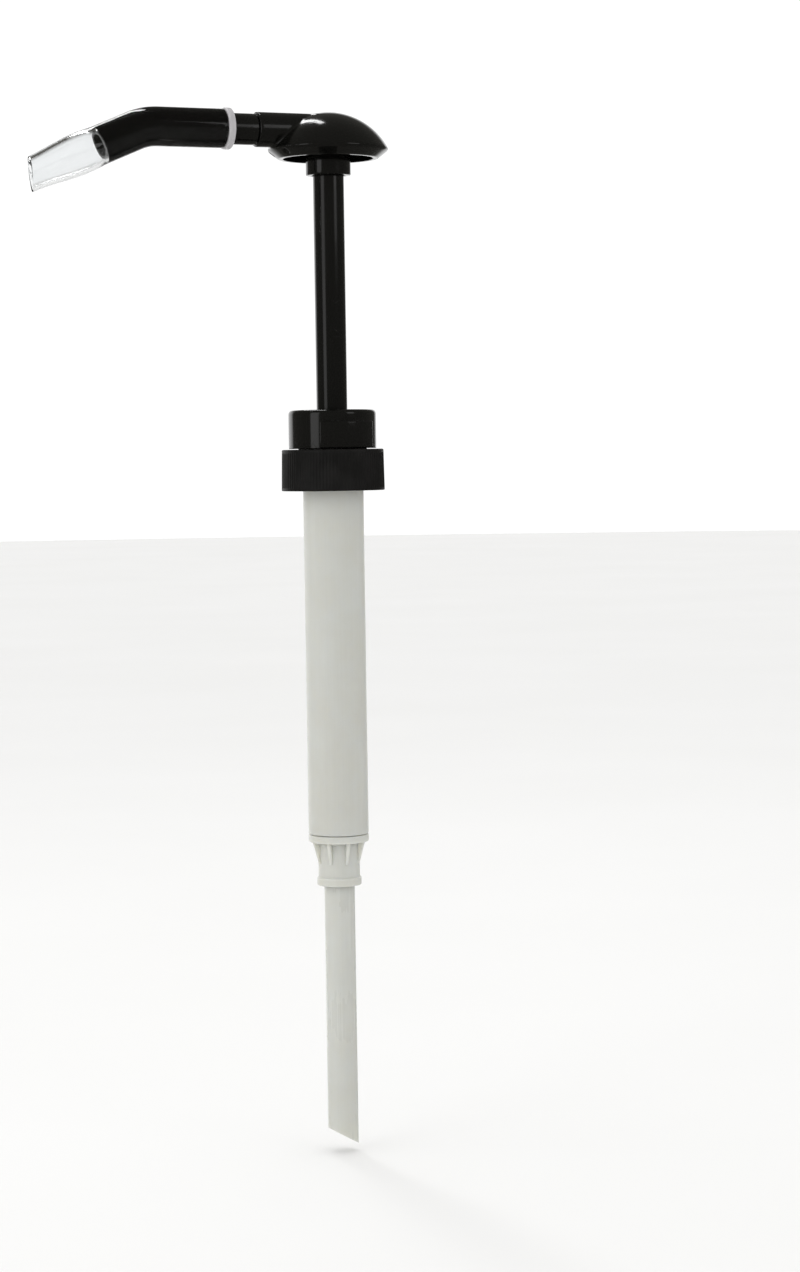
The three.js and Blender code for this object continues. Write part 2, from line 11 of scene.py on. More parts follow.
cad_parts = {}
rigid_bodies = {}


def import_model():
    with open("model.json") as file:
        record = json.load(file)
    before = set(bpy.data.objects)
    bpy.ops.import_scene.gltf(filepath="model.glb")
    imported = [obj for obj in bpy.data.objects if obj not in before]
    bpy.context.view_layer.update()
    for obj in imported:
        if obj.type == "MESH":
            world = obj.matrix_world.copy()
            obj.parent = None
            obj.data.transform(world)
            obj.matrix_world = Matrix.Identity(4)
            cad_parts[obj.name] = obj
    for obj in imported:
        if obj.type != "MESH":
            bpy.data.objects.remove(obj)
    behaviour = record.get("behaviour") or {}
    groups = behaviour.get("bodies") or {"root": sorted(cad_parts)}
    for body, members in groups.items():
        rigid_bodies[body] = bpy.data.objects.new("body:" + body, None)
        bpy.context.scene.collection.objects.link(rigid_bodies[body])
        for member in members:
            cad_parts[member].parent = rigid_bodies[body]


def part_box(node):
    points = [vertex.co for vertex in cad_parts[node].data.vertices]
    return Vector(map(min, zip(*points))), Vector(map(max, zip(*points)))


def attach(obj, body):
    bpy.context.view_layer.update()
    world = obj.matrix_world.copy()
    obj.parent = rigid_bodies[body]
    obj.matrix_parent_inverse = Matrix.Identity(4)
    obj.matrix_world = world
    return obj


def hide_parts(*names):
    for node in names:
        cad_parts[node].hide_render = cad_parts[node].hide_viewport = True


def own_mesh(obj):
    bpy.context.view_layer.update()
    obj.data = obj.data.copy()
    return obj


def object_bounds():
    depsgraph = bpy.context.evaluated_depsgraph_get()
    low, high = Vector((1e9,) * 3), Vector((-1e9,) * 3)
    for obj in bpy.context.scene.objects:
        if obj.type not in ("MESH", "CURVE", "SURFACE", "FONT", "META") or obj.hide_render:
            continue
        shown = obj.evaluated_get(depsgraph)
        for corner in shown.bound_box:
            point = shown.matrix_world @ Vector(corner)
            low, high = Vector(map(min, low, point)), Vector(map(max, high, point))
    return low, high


bl_info = {
    "name": "Gear oil hand pump",
    "version": (1, 0, 0),
    "blender": (4, 5, 0),
    "location": "View3D > Sidebar > Oil Pump",
    "description": "Builds a hand pump for gear oil piece by piece, with its materials and a plain studio",
    "category": "Add Mesh",
}

for leftover in list(bpy.data.objects):
    bpy.data.objects.remove(leftover)
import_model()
CAD_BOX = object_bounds()
MM = 0.001
UP = Vector((0, 0, 1))
AXIS = (0, 0, 0)
MERGE = 1e-7  # doubles nearer than this are one
CHANNEL_STEP = 1.5 * MM  # how much narrower the oil's channel is than the spigot
CHAMBER_STEP = 1.2 * MM  # how much narrower the piston's chamber is than its socket
GROOVE_STEP = 1.9 * MM  # how much wider the cup seal's groove is than the chamber
RING_ROOM = 0.6 * MM  # room above and below the stem's O-ring
NUT_SHANK = 3.4 * MM  # wall of the piston's shank that the nut sits on
HOSE_GRIP = 0.04 * MM  # how far the hose's wall reaches into the nozzle's surface
HOSE_SWELL = 0.5 * MM  # how much wider the hose is past the nozzle's tip
HOSE_NARROWING = 0.2  # share of its width that the hose loses towards its cut end
CUT_LEAD = 3.3 * MM  # how far past the frame's hose the slanted cut starts
CUT_SIDE = 0.8  # where the cut starts, as a share of the hose's radius
CUT_DROP = 0.1  # how much the cut's face looks down
THREAD_START = 1.6 * MM  # the closure's thread starts this far above its foot
SIGHT = radians(-21.93)  # how far round from -Y the camera stands


def low(node):
    return Vector(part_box(node)[0])


def high(node):
    return Vector(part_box(node)[1])


def radius(node):
    """Half the width of a round node across Y, where nothing sticks out of it."""
    return (high(node).y - low(node).y) / 2


def ends(node):
    """Heights of a node's lower and upper end."""
    return low(node).z, high(node).z


def middle_and_half(node):
    """Height of a node's middle, and half its height."""
    z0, z1 = ends(node)
    return (z0 + z1) / 2, (z1 - z0) / 2


# ------------------------------------------------------------------ sizes and colours


def length(name, millimetres, description):
    return FloatProperty(
        name=name, description=description, default=millimetres * MM, unit="LENGTH", subtype="DISTANCE",
        min=0.0, precision=5,
    )


def turn(name, in_degrees, description):
    return FloatProperty(
        name=name, description=description, default=radians(in_degrees), unit="ROTATION", subtype="ANGLE"
    )


def colour(name, rgb, description):
    return FloatVectorProperty(
        name=name, description=description, default=(*rgb, 1.0), size=4, min=0.0, max=1.0, subtype="COLOR"
    )


class PumpSizes(PropertyGroup):
    around: IntProperty(name="Facets round", description="Steps of a full turn", default=128, min=24)
    fit: length("Fit", 0.3, "Room between two pieces that touch")
    crown_radius: length("Crown radius", 28.0, "Radius of the knob's round top")
    knob_wall: length("Knob wall", 2.3, "Wall of the hollow knob")
    knob_chamfer: length("Knob under-edge", 4.3, "How far the slope under the edge runs in")
    hub_wall: length("Hub wall", 2.6, "Wall of the hub that holds the stem")
    rib_thickness: length("Rib thickness", 1.8, "Ribs inside the knob")
    rib_gap: length("Rib gap", 3.0, "How far the ribs stop above the rim")
    dimple: length("Dimple", 2.4, "Diameter of the two dimples beside the neck")
    neck_radius: length("Neck radius", 7.1, "Neck of the knob that takes the nozzle")
    neck_reach: length("Neck reach", 31.8, "From the plunger's axis to the face of the neck")
    nozzle_drop: length("Nozzle drop", 7.8, "Nozzle's axis below the top of the knob")
    nozzle_wall: length("Nozzle wall", 1.65, "Wall of the bent nozzle")
    spigot_radius: length("Spigot radius", 5.1, "End of the nozzle that sits in the neck")
    spigot_length: length("Spigot length", 14.0, "How deep the spigot sits in the neck")
    bend_reach: length("Bend reach", 78.4, "From the plunger's axis to the corner of the bend")
    bend_angle: turn("Bend angle", 23, "How far the nozzle turns down")
    bend_radius: length("Bend radius", 24.0, "Radius of the bend")
    tip_length: length("Tip length", 21.0, "From the corner of the bend to the nozzle's tip")
    hose_wall: length("Hose wall", 1.25, "Wall of the clear hose")
    hose_cut: turn("Hose cut", 22, "How far the cut at the hose's end slants to one side")
    stem_wall: length("Stem wall", 1.9, "Wall of the hollow plunger stem")
    barrel_wall: length("Barrel wall", 1.8, "Wall of the pump barrel")
    boss_wall: length("Boss wall", 3.5, "Wall of the barrel where the collar grips it")
    flange: length("Flange", 2.0, "Thickness of the flange that seals on the neck")
    collar_roof: length("Collar roof", 2.6, "Top wall of the gland collar")
    lug_height: length("Lug height", 11.2, "Height of the two lugs on the collar")
    lug_span: turn("Lug span", 77, "How far each lug reaches round the collar")
    closure_roof: length("Closure roof", 2.2, "Top wall of the threaded closure")
    closure_bore: length("Closure bore", 19.1, "Radius inside the closure")
    grip_ribs: IntProperty(name="Grip ribs", description="Fine ribs round the closure", default=96, min=0)
    grip_depth: length("Grip depth", 0.22, "How deep the grooves between the ribs are")
    thread_pitch: length("Thread pitch", 4.23, "Pitch of the thread in the closure")
    thread_turns: FloatProperty(name="Thread turns", description="Turns of the thread", default=1.25, min=0.0)
    wire: length("Spring wire", 1.3, "Diameter of the spring's wire")
    coils: IntProperty(name="Coils", description="Turns of the return spring", default=15, min=3)
    outlet_port: length("Outlet port", 3.0, "Radius of the seat in the piston")
    inlet_port: length("Inlet port", 3.6, "Radius of the seat in the foot valve")
    dip_wall: length("Dip tube wall", 1.6, "Wall of the dip tube")
    dip_cut: turn("Dip tube cut", 30, "Slant of the dip tube's lower end")


class PumpColours(PropertyGroup):
    gloss_black: colour("Gloss black", (0.0032, 0.0032, 0.0028), "Knob, stem, nozzle and collar")
    matt_black: colour("Matt black", (0.0042, 0.0042, 0.004), "Threaded closure")
    natural: colour("Natural plastic", (0.60, 0.61, 0.575), "Barrel, foot valve and dip tube")
    acetal: colour("White plastic", (0.74, 0.73, 0.68), "Bush, piston, nut and cages")
    nylon: colour("Milky nylon", (0.52, 0.51, 0.52), "Stop ring of the hose")
    vinyl: colour("Clear vinyl", (0.945, 0.955, 0.96), "Outlet hose")
    steel: colour("Stainless steel", (0.62, 0.62, 0.63), "Balls, spring and washer")
    rubber: colour("Black rubber", (0.018, 0.018, 0.019), "Seals and gasket")


def sizes():
    return bpy.context.scene.oil_pump_sizes


def colours():
    return bpy.context.scene.oil_pump_colours


# ------------------------------------------------------------------ mesh tools


def crisp(piece, smooth_below=34):
    """Smooth shading, with edges kept crisp where the faces meet at more than this angle."""
    piece.data.shade_smooth()
    piece.data.set_sharp_from_angle(angle=radians(smooth_below))
    return piece


def piece_from(name, bm, smooth_below=34):
    """A piece from a bmesh, with its doubles merged and its faces outwards."""
    bmesh.ops.remove_doubles(bm, verts=bm.verts, dist=MERGE)
    bmesh.ops.recalc_face_normals(bm, faces=bm.faces)
    mesh = bpy.data.meshes.new(name)
    bm.to_mesh(mesh)
    bm.free()
    piece = bpy.data.objects.new(name, mesh)
    bpy.context.collection.objects.link(piece)
    return crisp(piece, smooth_below)


def spun(points, around, axis=UP, centre=AXIS, closed=True):
    """A bmesh turned about an axis from the points of a section, given as vectors."""
    bm = bmesh.new()
    verts = [bm.verts.new(point) for point in points]
    edges = [bm.edges.new(pair) for pair in zip(verts, verts[1:])]
    if closed:
        edges.append(bm.edges.new((verts[-1], verts[0])))
    bmesh.ops.spin(bm, geom=verts + edges, cent=centre, axis=axis, angle=2 * pi, steps=around, use_merge=True)
    bmesh.ops.remove_doubles(bm, verts=bm.verts, dist=MERGE)
    bmesh.ops.dissolve_degenerate(bm, dist=MERGE, edges=bm.edges)
    return bm


def rounded(profile, round_by, steps=3, closed=True):
    """A section with its corners rounded: round_by is one radius, or a list with one for each corner."""
    count = len(profile)
    radii = round_by if isinstance(round_by, (list, tuple)) else [round_by] * count
    points = []
    for i, corner in enumerate(profile):
        corner = Vector(corner)
        if radii[i] <= 0 or (not closed and i in (0, count - 1)):
            points.append(tuple(corner))
            continue
        before = Vector(profile[i - 1]) - corner
        after = Vector(profile[(i + 1) % count]) - corner
        half = before.angle(after) / 2
        reach = min(radii[i] / max(tan(half), 1e-3), 0.48 * before.length, 0.48 * after.length)
        start = corner + before.normalized() * reach
        end = corner + after.normalized() * reach
        for step in range(steps + 1):
            share = step / steps
            curve = start * (1 - share) ** 2 + corner * 2 * share * (1 - share) + end * share**2
            points.append(tuple(curve))
    return points


def turned(name, profile, round_by=0.0, around=None, steps=3, smooth_below=34):
    """A round piece about the pump's axis, from [radius, height] points that close or end on the axis."""
    closed = min(r for r, _ in profile) > 1e-9
    outline = rounded(profile, round_by, steps, closed)
    points = [Vector((r, 0, z)) for r, z in outline]
    return piece_from(name, spun(points, around or sizes().around, closed=closed), smooth_below)


def ring_outline(inner, outer, bottom, top):
    return [(inner, bottom), (outer, bottom), (outer, top), (inner, top)]


def turned_rows(name, rows):
    """A round piece from rows of a [radius, height] point and its corner's radius in millimetres."""
    return turned(name, [point for point, _ in rows], [by * MM for _, by in rows])


def rod(name, radius_, bottom, top, around=96):
    return turned(name, [(0, bottom), (radius_, bottom), (radius_, top), (0, top)], around=around)


def moved(piece, matrix):
    piece.data.transform(matrix)
    return piece


def side_rod(name, radius_, near, far, height, around=96):
    """A rod along -X at a height, between two distances from the pump's axis."""
    lay_down = Matrix.Translation((0, 0, height)) @ Matrix.Rotation(-pi / 2, 4, "Y")
    return moved(rod(name, radius_, near, far, around), lay_down)


def block(name, corner, opposite):
    """A box between two corners."""
    bm = bmesh.new()
    bmesh.ops.create_cube(bm, size=1.0)
    bmesh.ops.scale(bm, verts=bm.verts, vec=Vector(opposite) - Vector(corner))
    bmesh.ops.translate(bm, verts=bm.verts, vec=(Vector(corner) + Vector(opposite)) / 2)
    return piece_from(name, bm)


def everything(bm):
    return bm.verts[:] + bm.edges[:] + bm.faces[:]


def wire_section(segments, thick, reach, height, cap_ends=False):
    """A bmesh with an upright circle beside the pump's axis, ready to be spun round it."""
    bm = bmesh.new()
    bmesh.ops.create_circle(bm, segments=segments, radius=thick, cap_ends=cap_ends)
    bmesh.ops.rotate(bm, verts=bm.verts, cent=AXIS, matrix=Matrix.Rotation(pi / 2, 3, "X"))
    bmesh.ops.translate(bm, verts=bm.verts, vec=(reach, 0, height))
    return bm


def about_axis(angle):
    return Matrix.Rotation(angle, 4, "Z")


def applied(piece, kind, **settings):
    """Adds a modifier with these settings and applies it."""
    modifier = piece.modifiers.new(kind.title(), kind)
    for key, value in settings.items():
        setattr(modifier, key, value)
    graph = bpy.context.evaluated_depsgraph_get()
    mesh = bpy.data.meshes.new_from_object(piece.evaluated_get(graph))
    piece.modifiers.clear()
    old = piece.data
    piece.data = mesh
    bpy.data.meshes.remove(old)
    return piece


def carve(piece, tool, operation="DIFFERENCE"):
    """Cuts, joins or keeps what two closed pieces share, and deletes the tool."""
    applied(piece, "BOOLEAN", object=tool, operation=operation, solver="MANIFOLD")
    bpy.data.objects.remove(tool)
    return piece


def softened(piece, width, steps=2, over=50, smooth_below=34):
    """A small round on every edge where the faces meet at more than an angle."""
    applied(piece, "BEVEL", width=width, segments=steps, limit_method="ANGLE", angle_limit=radians(over))
    return crisp(piece, smooth_below)


def finish_piece(piece, body, material, slot, *nodes):
    """The piece rides on its body, stands for its CAD nodes and gets its material."""
    piece.data.materials.clear()
    piece.data.materials.append(material)
    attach(piece, body)
    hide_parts(*nodes)
    return piece


def eased(value, start, end):
    """0 before start, 1 after end, and a smooth change between them."""
    share = min(1.0, max(0.0, (value - start) / (end - start)))
    return share * share * (3 - 2 * share)


# ------------------------------------------------------------------ shared shader groups


def new_group(name, inputs, outputs):
    """A shader node group with named float, vector or colour sockets."""
    group = bpy.data.node_groups.new(name, "ShaderNodeTree")
    for socket, kind, default in inputs:
        made = group.interface.new_socket(name=socket, in_out="INPUT", socket_type=f"NodeSocket{kind}")
        if default is not None:
            made.default_value = default
    for socket, kind in outputs:
        group.interface.new_socket(name=socket, in_out="OUTPUT", socket_type=f"NodeSocket{kind}")
    entry = group.nodes.new("NodeGroupInput")
    leave = group.nodes.new("NodeGroupOutput")
    return group, entry.outputs, leave.inputs


class Wires:
    """Adds nodes to a tree and links them."""

    def __init__(self, tree):
        self.nodes = tree.nodes
        self.links = tree.links

    def add(self, kind, values=None, **settings):
        node = self.nodes.new(f"ShaderNode{kind}")
        for key, value in settings.items():
            setattr(node, key, value)
        for key, value in (values or {}).items():
            self.put(node.inputs[key], value)
        return node

    def put(self, socket, value):
        if isinstance(value, bpy.types.NodeSocket):
            self.links.new(value, socket)
        else:
            socket.default_value = value

    def math(self, operation, first, second=0.0, third=None):
        node = self.add("Math", operation=operation)
        self.put(node.inputs[0], first)
        self.put(node.inputs[1], second)
        if third is not None:
            self.put(node.inputs[2], third)
        return node.outputs[0]

    def ramp(self, value, low_end, high_end, to_low=0.0, to_high=1.0):
        node = self.add("MapRange", {"Value": value})
        names = ("From Min", "From Max", "To Min", "To Max")
        for socket, number in zip(names, (low_end, high_end, to_low, to_high)):
            self.put(node.inputs[socket], number)
        return node.outputs["Result"]

    def mix(self, factor, first, second):
        node = self.add("Mix", data_type="RGBA")
        self.put(node.inputs["Factor"], factor)
        self.put(node.inputs[6], first)
        self.put(node.inputs[7], second)
        return node.outputs[2]

    def noise(self, vector, scale, detail=3.0, roughness=0.5, distortion=0.0):
        node = self.add("TexNoise", {"Vector": vector, "Scale": scale, "Detail": detail,
                                     "Roughness": roughness, "Distortion": distortion})
        return node.outputs["Fac"]

    def layer(self, under, over, mask, amount):
        """A colour laid over another where a mask says, at most by this amount."""
        return self.mix(self.math("MULTIPLY", mask, amount), under, over)

    def stretched(self, vector, scale):
        return self.add("Mapping", {"Vector": vector, "Scale": scale}).outputs["Vector"]


def edge_wear_group():
    """A mask of the outer edges, broken up by noise, where handling has rubbed the surface."""
    group, given, out = new_group(
        "Edge wear",
        [("Vector", "Vector", None), ("Radius", "Float", 0.0005), ("Breakup", "Float", 900.0)],
        [("Mask", "Float")],
    )
    wires = Wires(group)
    bevel = wires.add("Bevel", {"Radius": given["Radius"]}, samples=4)
    geometry = wires.add("NewGeometry")
    dot = wires.add("VectorMath", operation="DOT_PRODUCT")
    wires.put(dot.inputs[0], bevel.outputs["Normal"])
    wires.put(dot.inputs[1], geometry.outputs["Normal"])
    turned_away = wires.ramp(dot.outputs["Value"], 0.995, 0.90)
    broken = wires.ramp(wires.noise(given["Vector"], given["Breakup"], 4.0), 0.42, 0.62)
    wires.put(out["Mask"], wires.math("MULTIPLY", turned_away, broken))
    return group


def moulding_group():
    """Fine relief of a moulded plastic: broad flow waves, a fine grain, and a few thin scratches."""
    group, given, out = new_group(
        "Moulding",
        [("Vector", "Vector", None), ("Waves", "Float", 0.3), ("Grain", "Float", 0.3),
         ("Grain size", "Float", 2600.0), ("Scratches", "Float", 0.3)],
        [("Height", "Float"), ("Scratch mask", "Float")],
    )
    wires = Wires(group)
    waves = wires.noise(given["Vector"], 55.0, 1.0, 0.4)
    grain = wires.noise(given["Vector"], given["Grain size"], 2.0, 0.6)
    warped = wires.add("VectorMath", operation="ADD")
    wires.put(warped.inputs[0], given["Vector"])
    wander = wires.add("TexNoise", {"Vector": given["Vector"], "Scale": 40.0, "Detail": 1.0})
    shift = wires.add("VectorMath", operation="SCALE")
    wires.put(shift.inputs[0], wander.outputs["Color"])
    shift.inputs["Scale"].default_value = 0.012
    wires.put(warped.inputs[1], shift.outputs["Vector"])
    cells = wires.add("TexVoronoi", {"Vector": warped.outputs["Vector"], "Scale": 170.0},
                      feature="DISTANCE_TO_EDGE")
    hairline = wires.ramp(cells.outputs["Distance"], 0.012, 0.0)
    patches = wires.ramp(wires.noise(given["Vector"], 95.0, 2.0), 0.56, 0.66)
    scratch = wires.math("MULTIPLY", wires.math("MULTIPLY", hairline, patches), given["Scratches"])
    height = wires.math("MULTIPLY", waves, given["Waves"])
    height = wires.math("MULTIPLY_ADD", grain, given["Grain"], height)
    wires.put(out["Height"], wires.math("SUBTRACT", height, scratch))
    wires.put(out["Scratch mask"], scratch)
    return group


def handling_group():
    """Smears of oil and fingers: a soft mask that changes how rough the surface is."""
    group, given, out = new_group(
        "Handling",
        [("Vector", "Vector", None), ("Amount", "Float", 0.5)],
        [("Smear", "Float"), ("Dust", "Float")],
    )
    wires = Wires(group)
    along = wires.stretched(given["Vector"], (1.0, 1.0, 0.45))
    broad = wires.ramp(wires.noise(along, 48.0, 4.0, 0.55, 0.6), 0.42, 0.68)
    fine = wires.noise(given["Vector"], 420.0, 3.0, 0.6)
    smear = wires.math("MULTIPLY", wires.math("MULTIPLY", broad, fine), given["Amount"])
    wires.put(out["Smear"], smear)
    specks = wires.add("TexVoronoi", {"Vector": given["Vector"], "Scale": 900.0, "Randomness": 1.0})
    speck = wires.ramp(specks.outputs["Distance"], 0.11, 0.04)
    few = wires.ramp(wires.noise(given["Vector"], 160.0, 2.0), 0.55, 0.7)
    wires.put(out["Dust"], wires.math("MULTIPLY", wires.math("MULTIPLY", speck, few), given["Amount"]))
    return group


def placed(wires, group, values):
    """A shared group in a material, with this material's own values."""
    node = wires.nodes.new("ShaderNodeGroup")
    node.node_tree = group
    for key, value in values.items():
        wires.put(node.inputs[key], value)
    return node.outputs


def shared(name, build):
    return bpy.data.node_groups.get(name) or build()


def relief_of(wires, place, waves, grain, grain_size, scratches):
    values = {"Vector": place, "Waves": waves, "Grain": grain, "Grain size": grain_size}
    values["Scratches"] = scratches
    return placed(wires, shared("Moulding", moulding_group), values)


def handled(wires, place, amount):
    return placed(wires, shared("Handling", handling_group), {"Vector": place, "Amount": amount})


def rubbed(wires, place, edge, breakup):
    values = {"Vector": place, "Radius": edge, "Breakup": breakup}
    return placed(wires, shared("Edge wear", edge_wear_group), values)


# ------------------------------------------------------------------ materials

# Tones that wear, oil, dust and clouding lay over the plain colours.
RUBBED_GLOSS = (0.06, 0.06, 0.062, 1)
GLOSS_DUST = (0.20, 0.19, 0.17, 1)
MOTTLED_MATT = (0.0095, 0.009, 0.0088, 1)
RUBBED_MATT = (0.075, 0.073, 0.07, 1)
MATT_DUST = (0.22, 0.2, 0.17, 1)
OILED_NATURAL = (0.56, 0.545, 0.48, 1)
NATURAL_STREAKS = (0.78, 0.79, 0.77, 1)
NATURAL_DUST = (0.34, 0.31, 0.26, 1)
OILED_VINYL = (0.88, 0.90, 0.90, 1)
CLOUDED_NYLON = (0.42, 0.41, 0.43, 1)
OILED_ACETAL = (0.62, 0.57, 0.44, 1)
DRAWN_STEEL = (0.48, 0.48, 0.49, 1)
BLOOMED_RUBBER = (0.05, 0.05, 0.052, 1)


def new_material(name, **sockets):
    material = bpy.data.materials.new(name)
    material.use_nodes = True
    wires = Wires(material.node_tree)
    shader = material.node_tree.nodes["Principled BSDF"]
    for key, value in sockets.items():
        shader.inputs[key.replace("_", " ")].default_value = value
    place = wires.add("TexCoord").outputs["Object"]
    return material, wires, shader, place


def bumped(wires, shader, height, distance, strength=1.0):
    bump = wires.add("Bump", {"Height": height, "Strength": strength, "Distance": distance})
    wires.put(shader.inputs["Normal"], bump.outputs["Normal"])


def gloss_black(name="Gloss black plastic", rough=0.1, smear_amount=0.6, waves=0.5, coat=0.35):
    material, wires, shader, place = new_material(
        name, IOR=1.5, Coat_Weight=coat, Coat_Roughness=0.05, Coat_IOR=1.48
    )
    relief = relief_of(wires, place, waves, 0.02, 2400.0, 0.3)
    hands = handled(wires, place, smear_amount)
    wear = rubbed(wires, place, 0.0005, 800.0)
    base = tuple(colours().gloss_black)
    worn = wires.layer(base, RUBBED_GLOSS, wear["Mask"], 0.35)
    dusty = wires.layer(worn, GLOSS_DUST, hands["Dust"], 0.25)
    wires.put(shader.inputs["Base Color"], dusty)
    roughness = wires.math("MULTIPLY_ADD", hands["Smear"], 0.34, rough)
    roughness = wires.math("MULTIPLY_ADD", wear["Mask"], 0.2, roughness)
    wires.put(shader.inputs["Roughness"], wires.math("ADD", roughness, relief["Scratch mask"]))
    bumped(wires, shader, relief["Height"], 0.00006)
    return material


def nozzle_black(name):
    """Gloss black that shines only where it is bare, as the hose grips the rest with no air between them."""
    material = gloss_black(name)
    wires = Wires(material.node_tree)
    shader = material.node_tree.nodes["Principled BSDF"]
    place = wires.add("TexCoord").outputs["Object"]
    bend = sizes().bend_angle
    out_along = wires.add("VectorMath", {0: place, 1: (-cos(bend), 0, -sin(bend))}, operation="DOT_PRODUCT")
    tip = sizes().bend_reach * cos(bend) - nozzle_height() * sin(bend) + sizes().tip_length
    tip_face = wires.ramp(out_along.outputs["Value"], tip - 0.5 * MM, tip - 0.3 * MM)
    ring_x = low("hose_stop_ring").x
    across = wires.add("SeparateXYZ", {"Vector": place}).outputs["X"]
    bare = wires.math("MAXIMUM", wires.ramp(across, ring_x - 0.5 * MM, ring_x), tip_face)
    wires.put(shader.inputs["Specular IOR Level"], wires.math("MULTIPLY_ADD", bare, 0.42, 0.08))
    wires.put(shader.inputs["Coat Weight"], wires.math("MULTIPLY", bare, 0.35))
    return material


def matt_black():
    material, wires, shader, place = new_material("Matt black plastic", IOR=1.5, Specular_IOR_Level=0.36)
    relief = relief_of(wires, place, 0.25, 0.75, 3600.0, 0.35)
    hands = handled(wires, place, 0.8)
    wear = rubbed(wires, place, 0.00035, 1100.0)
    base = tuple(colours().matt_black)
    shade = wires.ramp(wires.noise(place, 130.0, 3.0), 0.3, 0.7)
    mottled = wires.mix(shade, base, MOTTLED_MATT)
    worn = wires.layer(mottled, RUBBED_MATT, wear["Mask"], 0.5)
    dusty = wires.layer(worn, MATT_DUST, hands["Dust"], 0.35)
    wires.put(shader.inputs["Base Color"], dusty)
    roughness = wires.math("MULTIPLY_ADD", hands["Smear"], -0.22, 0.52)
    wires.put(shader.inputs["Roughness"], wires.math("MULTIPLY_ADD", wear["Mask"], -0.1, roughness))
    bumped(wires, shader, relief["Height"], 0.00005)
    return material


def natural_plastic(name="Natural plastic", cloud=0.5, rough=0.3):
    """Milky polyethylene: light sinks in, with faint drawing lines along the length and cloudy patches."""
    material, wires, shader, place = new_material(
        name, IOR=1.51, Subsurface_Weight=0.75, Subsurface_Scale=0.004
    )
    shader.inputs["Subsurface Radius"].default_value = (1.0, 0.95, 0.8)
    lines = wires.noise(wires.stretched(place, (1.0, 1.0, 0.012)), 1500.0, 2.0)
    clouds = wires.ramp(wires.noise(place, 60.0, 3.0, 0.55, 0.4), 0.3, 0.75)
    hands = handled(wires, place, 0.5)
    relief = relief_of(wires, place, 0.3, 0.2, 1900.0, 0.5)
    base = tuple(colours().natural)
    oiled = wires.layer(base, OILED_NATURAL, clouds, cloud)
    streaked = wires.layer(oiled, NATURAL_STREAKS, lines, 0.16)
    dusty = wires.layer(streaked, NATURAL_DUST, hands["Dust"], 0.4)
    wires.put(shader.inputs["Base Color"], dusty)
    roughness = wires.math("MULTIPLY_ADD", hands["Smear"], 0.3, rough)
    wires.put(shader.inputs["Roughness"], wires.math("MULTIPLY_ADD", lines, 0.06, roughness))
    bumped(wires, shader, wires.math("MULTIPLY_ADD", lines, 0.35, relief["Height"]), 0.00004)
    return material


def clear_vinyl():
    """Clear soft hose: faint lengthwise drawing marks and a light film of oil."""
    material, wires, shader, place = new_material(
        "Clear vinyl", IOR=1.5, Transmission_Weight=1.0, Specular_IOR_Level=0.3,
        Base_Color=tuple(colours().vinyl),
    )
    marks = wires.noise(wires.stretched(place, (0.3, 1.0, 0.6)), 160.0, 1.0)
    film = wires.ramp(wires.noise(place, 140.0, 3.0, 0.5, 0.5), 0.45, 0.75)
    wires.put(shader.inputs["Roughness"], wires.math("MULTIPLY_ADD", film, 0.05, 0.03))
    tint = wires.layer(tuple(colours().vinyl), OILED_VINYL, film, 0.2)
    wires.put(shader.inputs["Base Color"], tint)
    bumped(wires, shader, marks, 0.00001)
    return material


def milky_nylon():
    material, wires, shader, place = new_material(
        "Milky nylon", IOR=1.52, Subsurface_Weight=0.8, Subsurface_Scale=0.002, Coat_Weight=0.2,
    )
    shader.inputs["Subsurface Radius"].default_value = (1.0, 1.0, 1.0)
    turning = wires.noise(wires.stretched(place, (1.0, 0.05, 0.05)), 2600.0, 2.0)
    clouds = wires.noise(place, 220.0, 3.0)
    base = wires.layer(tuple(colours().nylon), CLOUDED_NYLON, clouds, 0.5)
    wires.put(shader.inputs["Base Color"], base)
    wires.put(shader.inputs["Roughness"], wires.math("MULTIPLY_ADD", clouds, 0.2, 0.28))
    bumped(wires, shader, turning, 0.00004)
    return material


def white_acetal():
    material, wires, shader, place = new_material(
        "White acetal", IOR=1.48, Subsurface_Weight=0.3, Subsurface_Scale=0.0015
    )
    relief = relief_of(wires, place, 0.3, 0.4, 2300.0, 0.3)
    hands = handled(wires, place, 0.6)
    base = wires.layer(tuple(colours().acetal), OILED_ACETAL, hands["Smear"], 0.5)
    wires.put(shader.inputs["Base Color"], base)
    wires.put(shader.inputs["Roughness"], wires.math("MULTIPLY_ADD", hands["Smear"], 0.2, 0.36))
    bumped(wires, shader, relief["Height"], 0.00004)
    return material


def stainless_steel(name="Stainless steel", rough=0.16, drawn=(1.0, 1.0, 1.0)):
    material, wires, shader, place = new_material(name, Metallic=1.0)
    lines = wires.noise(wires.stretched(place, drawn), 2400.0, 3.0)
    hands = handled(wires, place, 0.5)
    base = wires.layer(tuple(colours().steel), DRAWN_STEEL, lines, 0.35)
    wires.put(shader.inputs["Base Color"], base)
    roughness = wires.math("MULTIPLY_ADD", lines, 0.12, rough)
    wires.put(shader.inputs["Roughness"], wires.math("MULTIPLY_ADD", hands["Smear"], 0.2, roughness))
    bumped(wires, shader, lines, 0.000012)
    return material


def black_rubber():
    material, wires, shader, place = new_material("Black rubber", IOR=1.52)
    relief = relief_of(wires, place, 0.4, 0.9, 2900.0, 0.1)
    bloom = wires.ramp(wires.noise(place, 210.0, 4.0), 0.45, 0.8)
    base = wires.layer(tuple(colours().rubber), BLOOMED_RUBBER, bloom, 0.5)
    wires.put(shader.inputs["Base Color"], base)
    wires.put(shader.inputs["Roughness"], wires.math("MULTIPLY_ADD", bloom, 0.2, 0.55))
    bumped(wires, shader, relief["Height"], 0.00008)
    return material


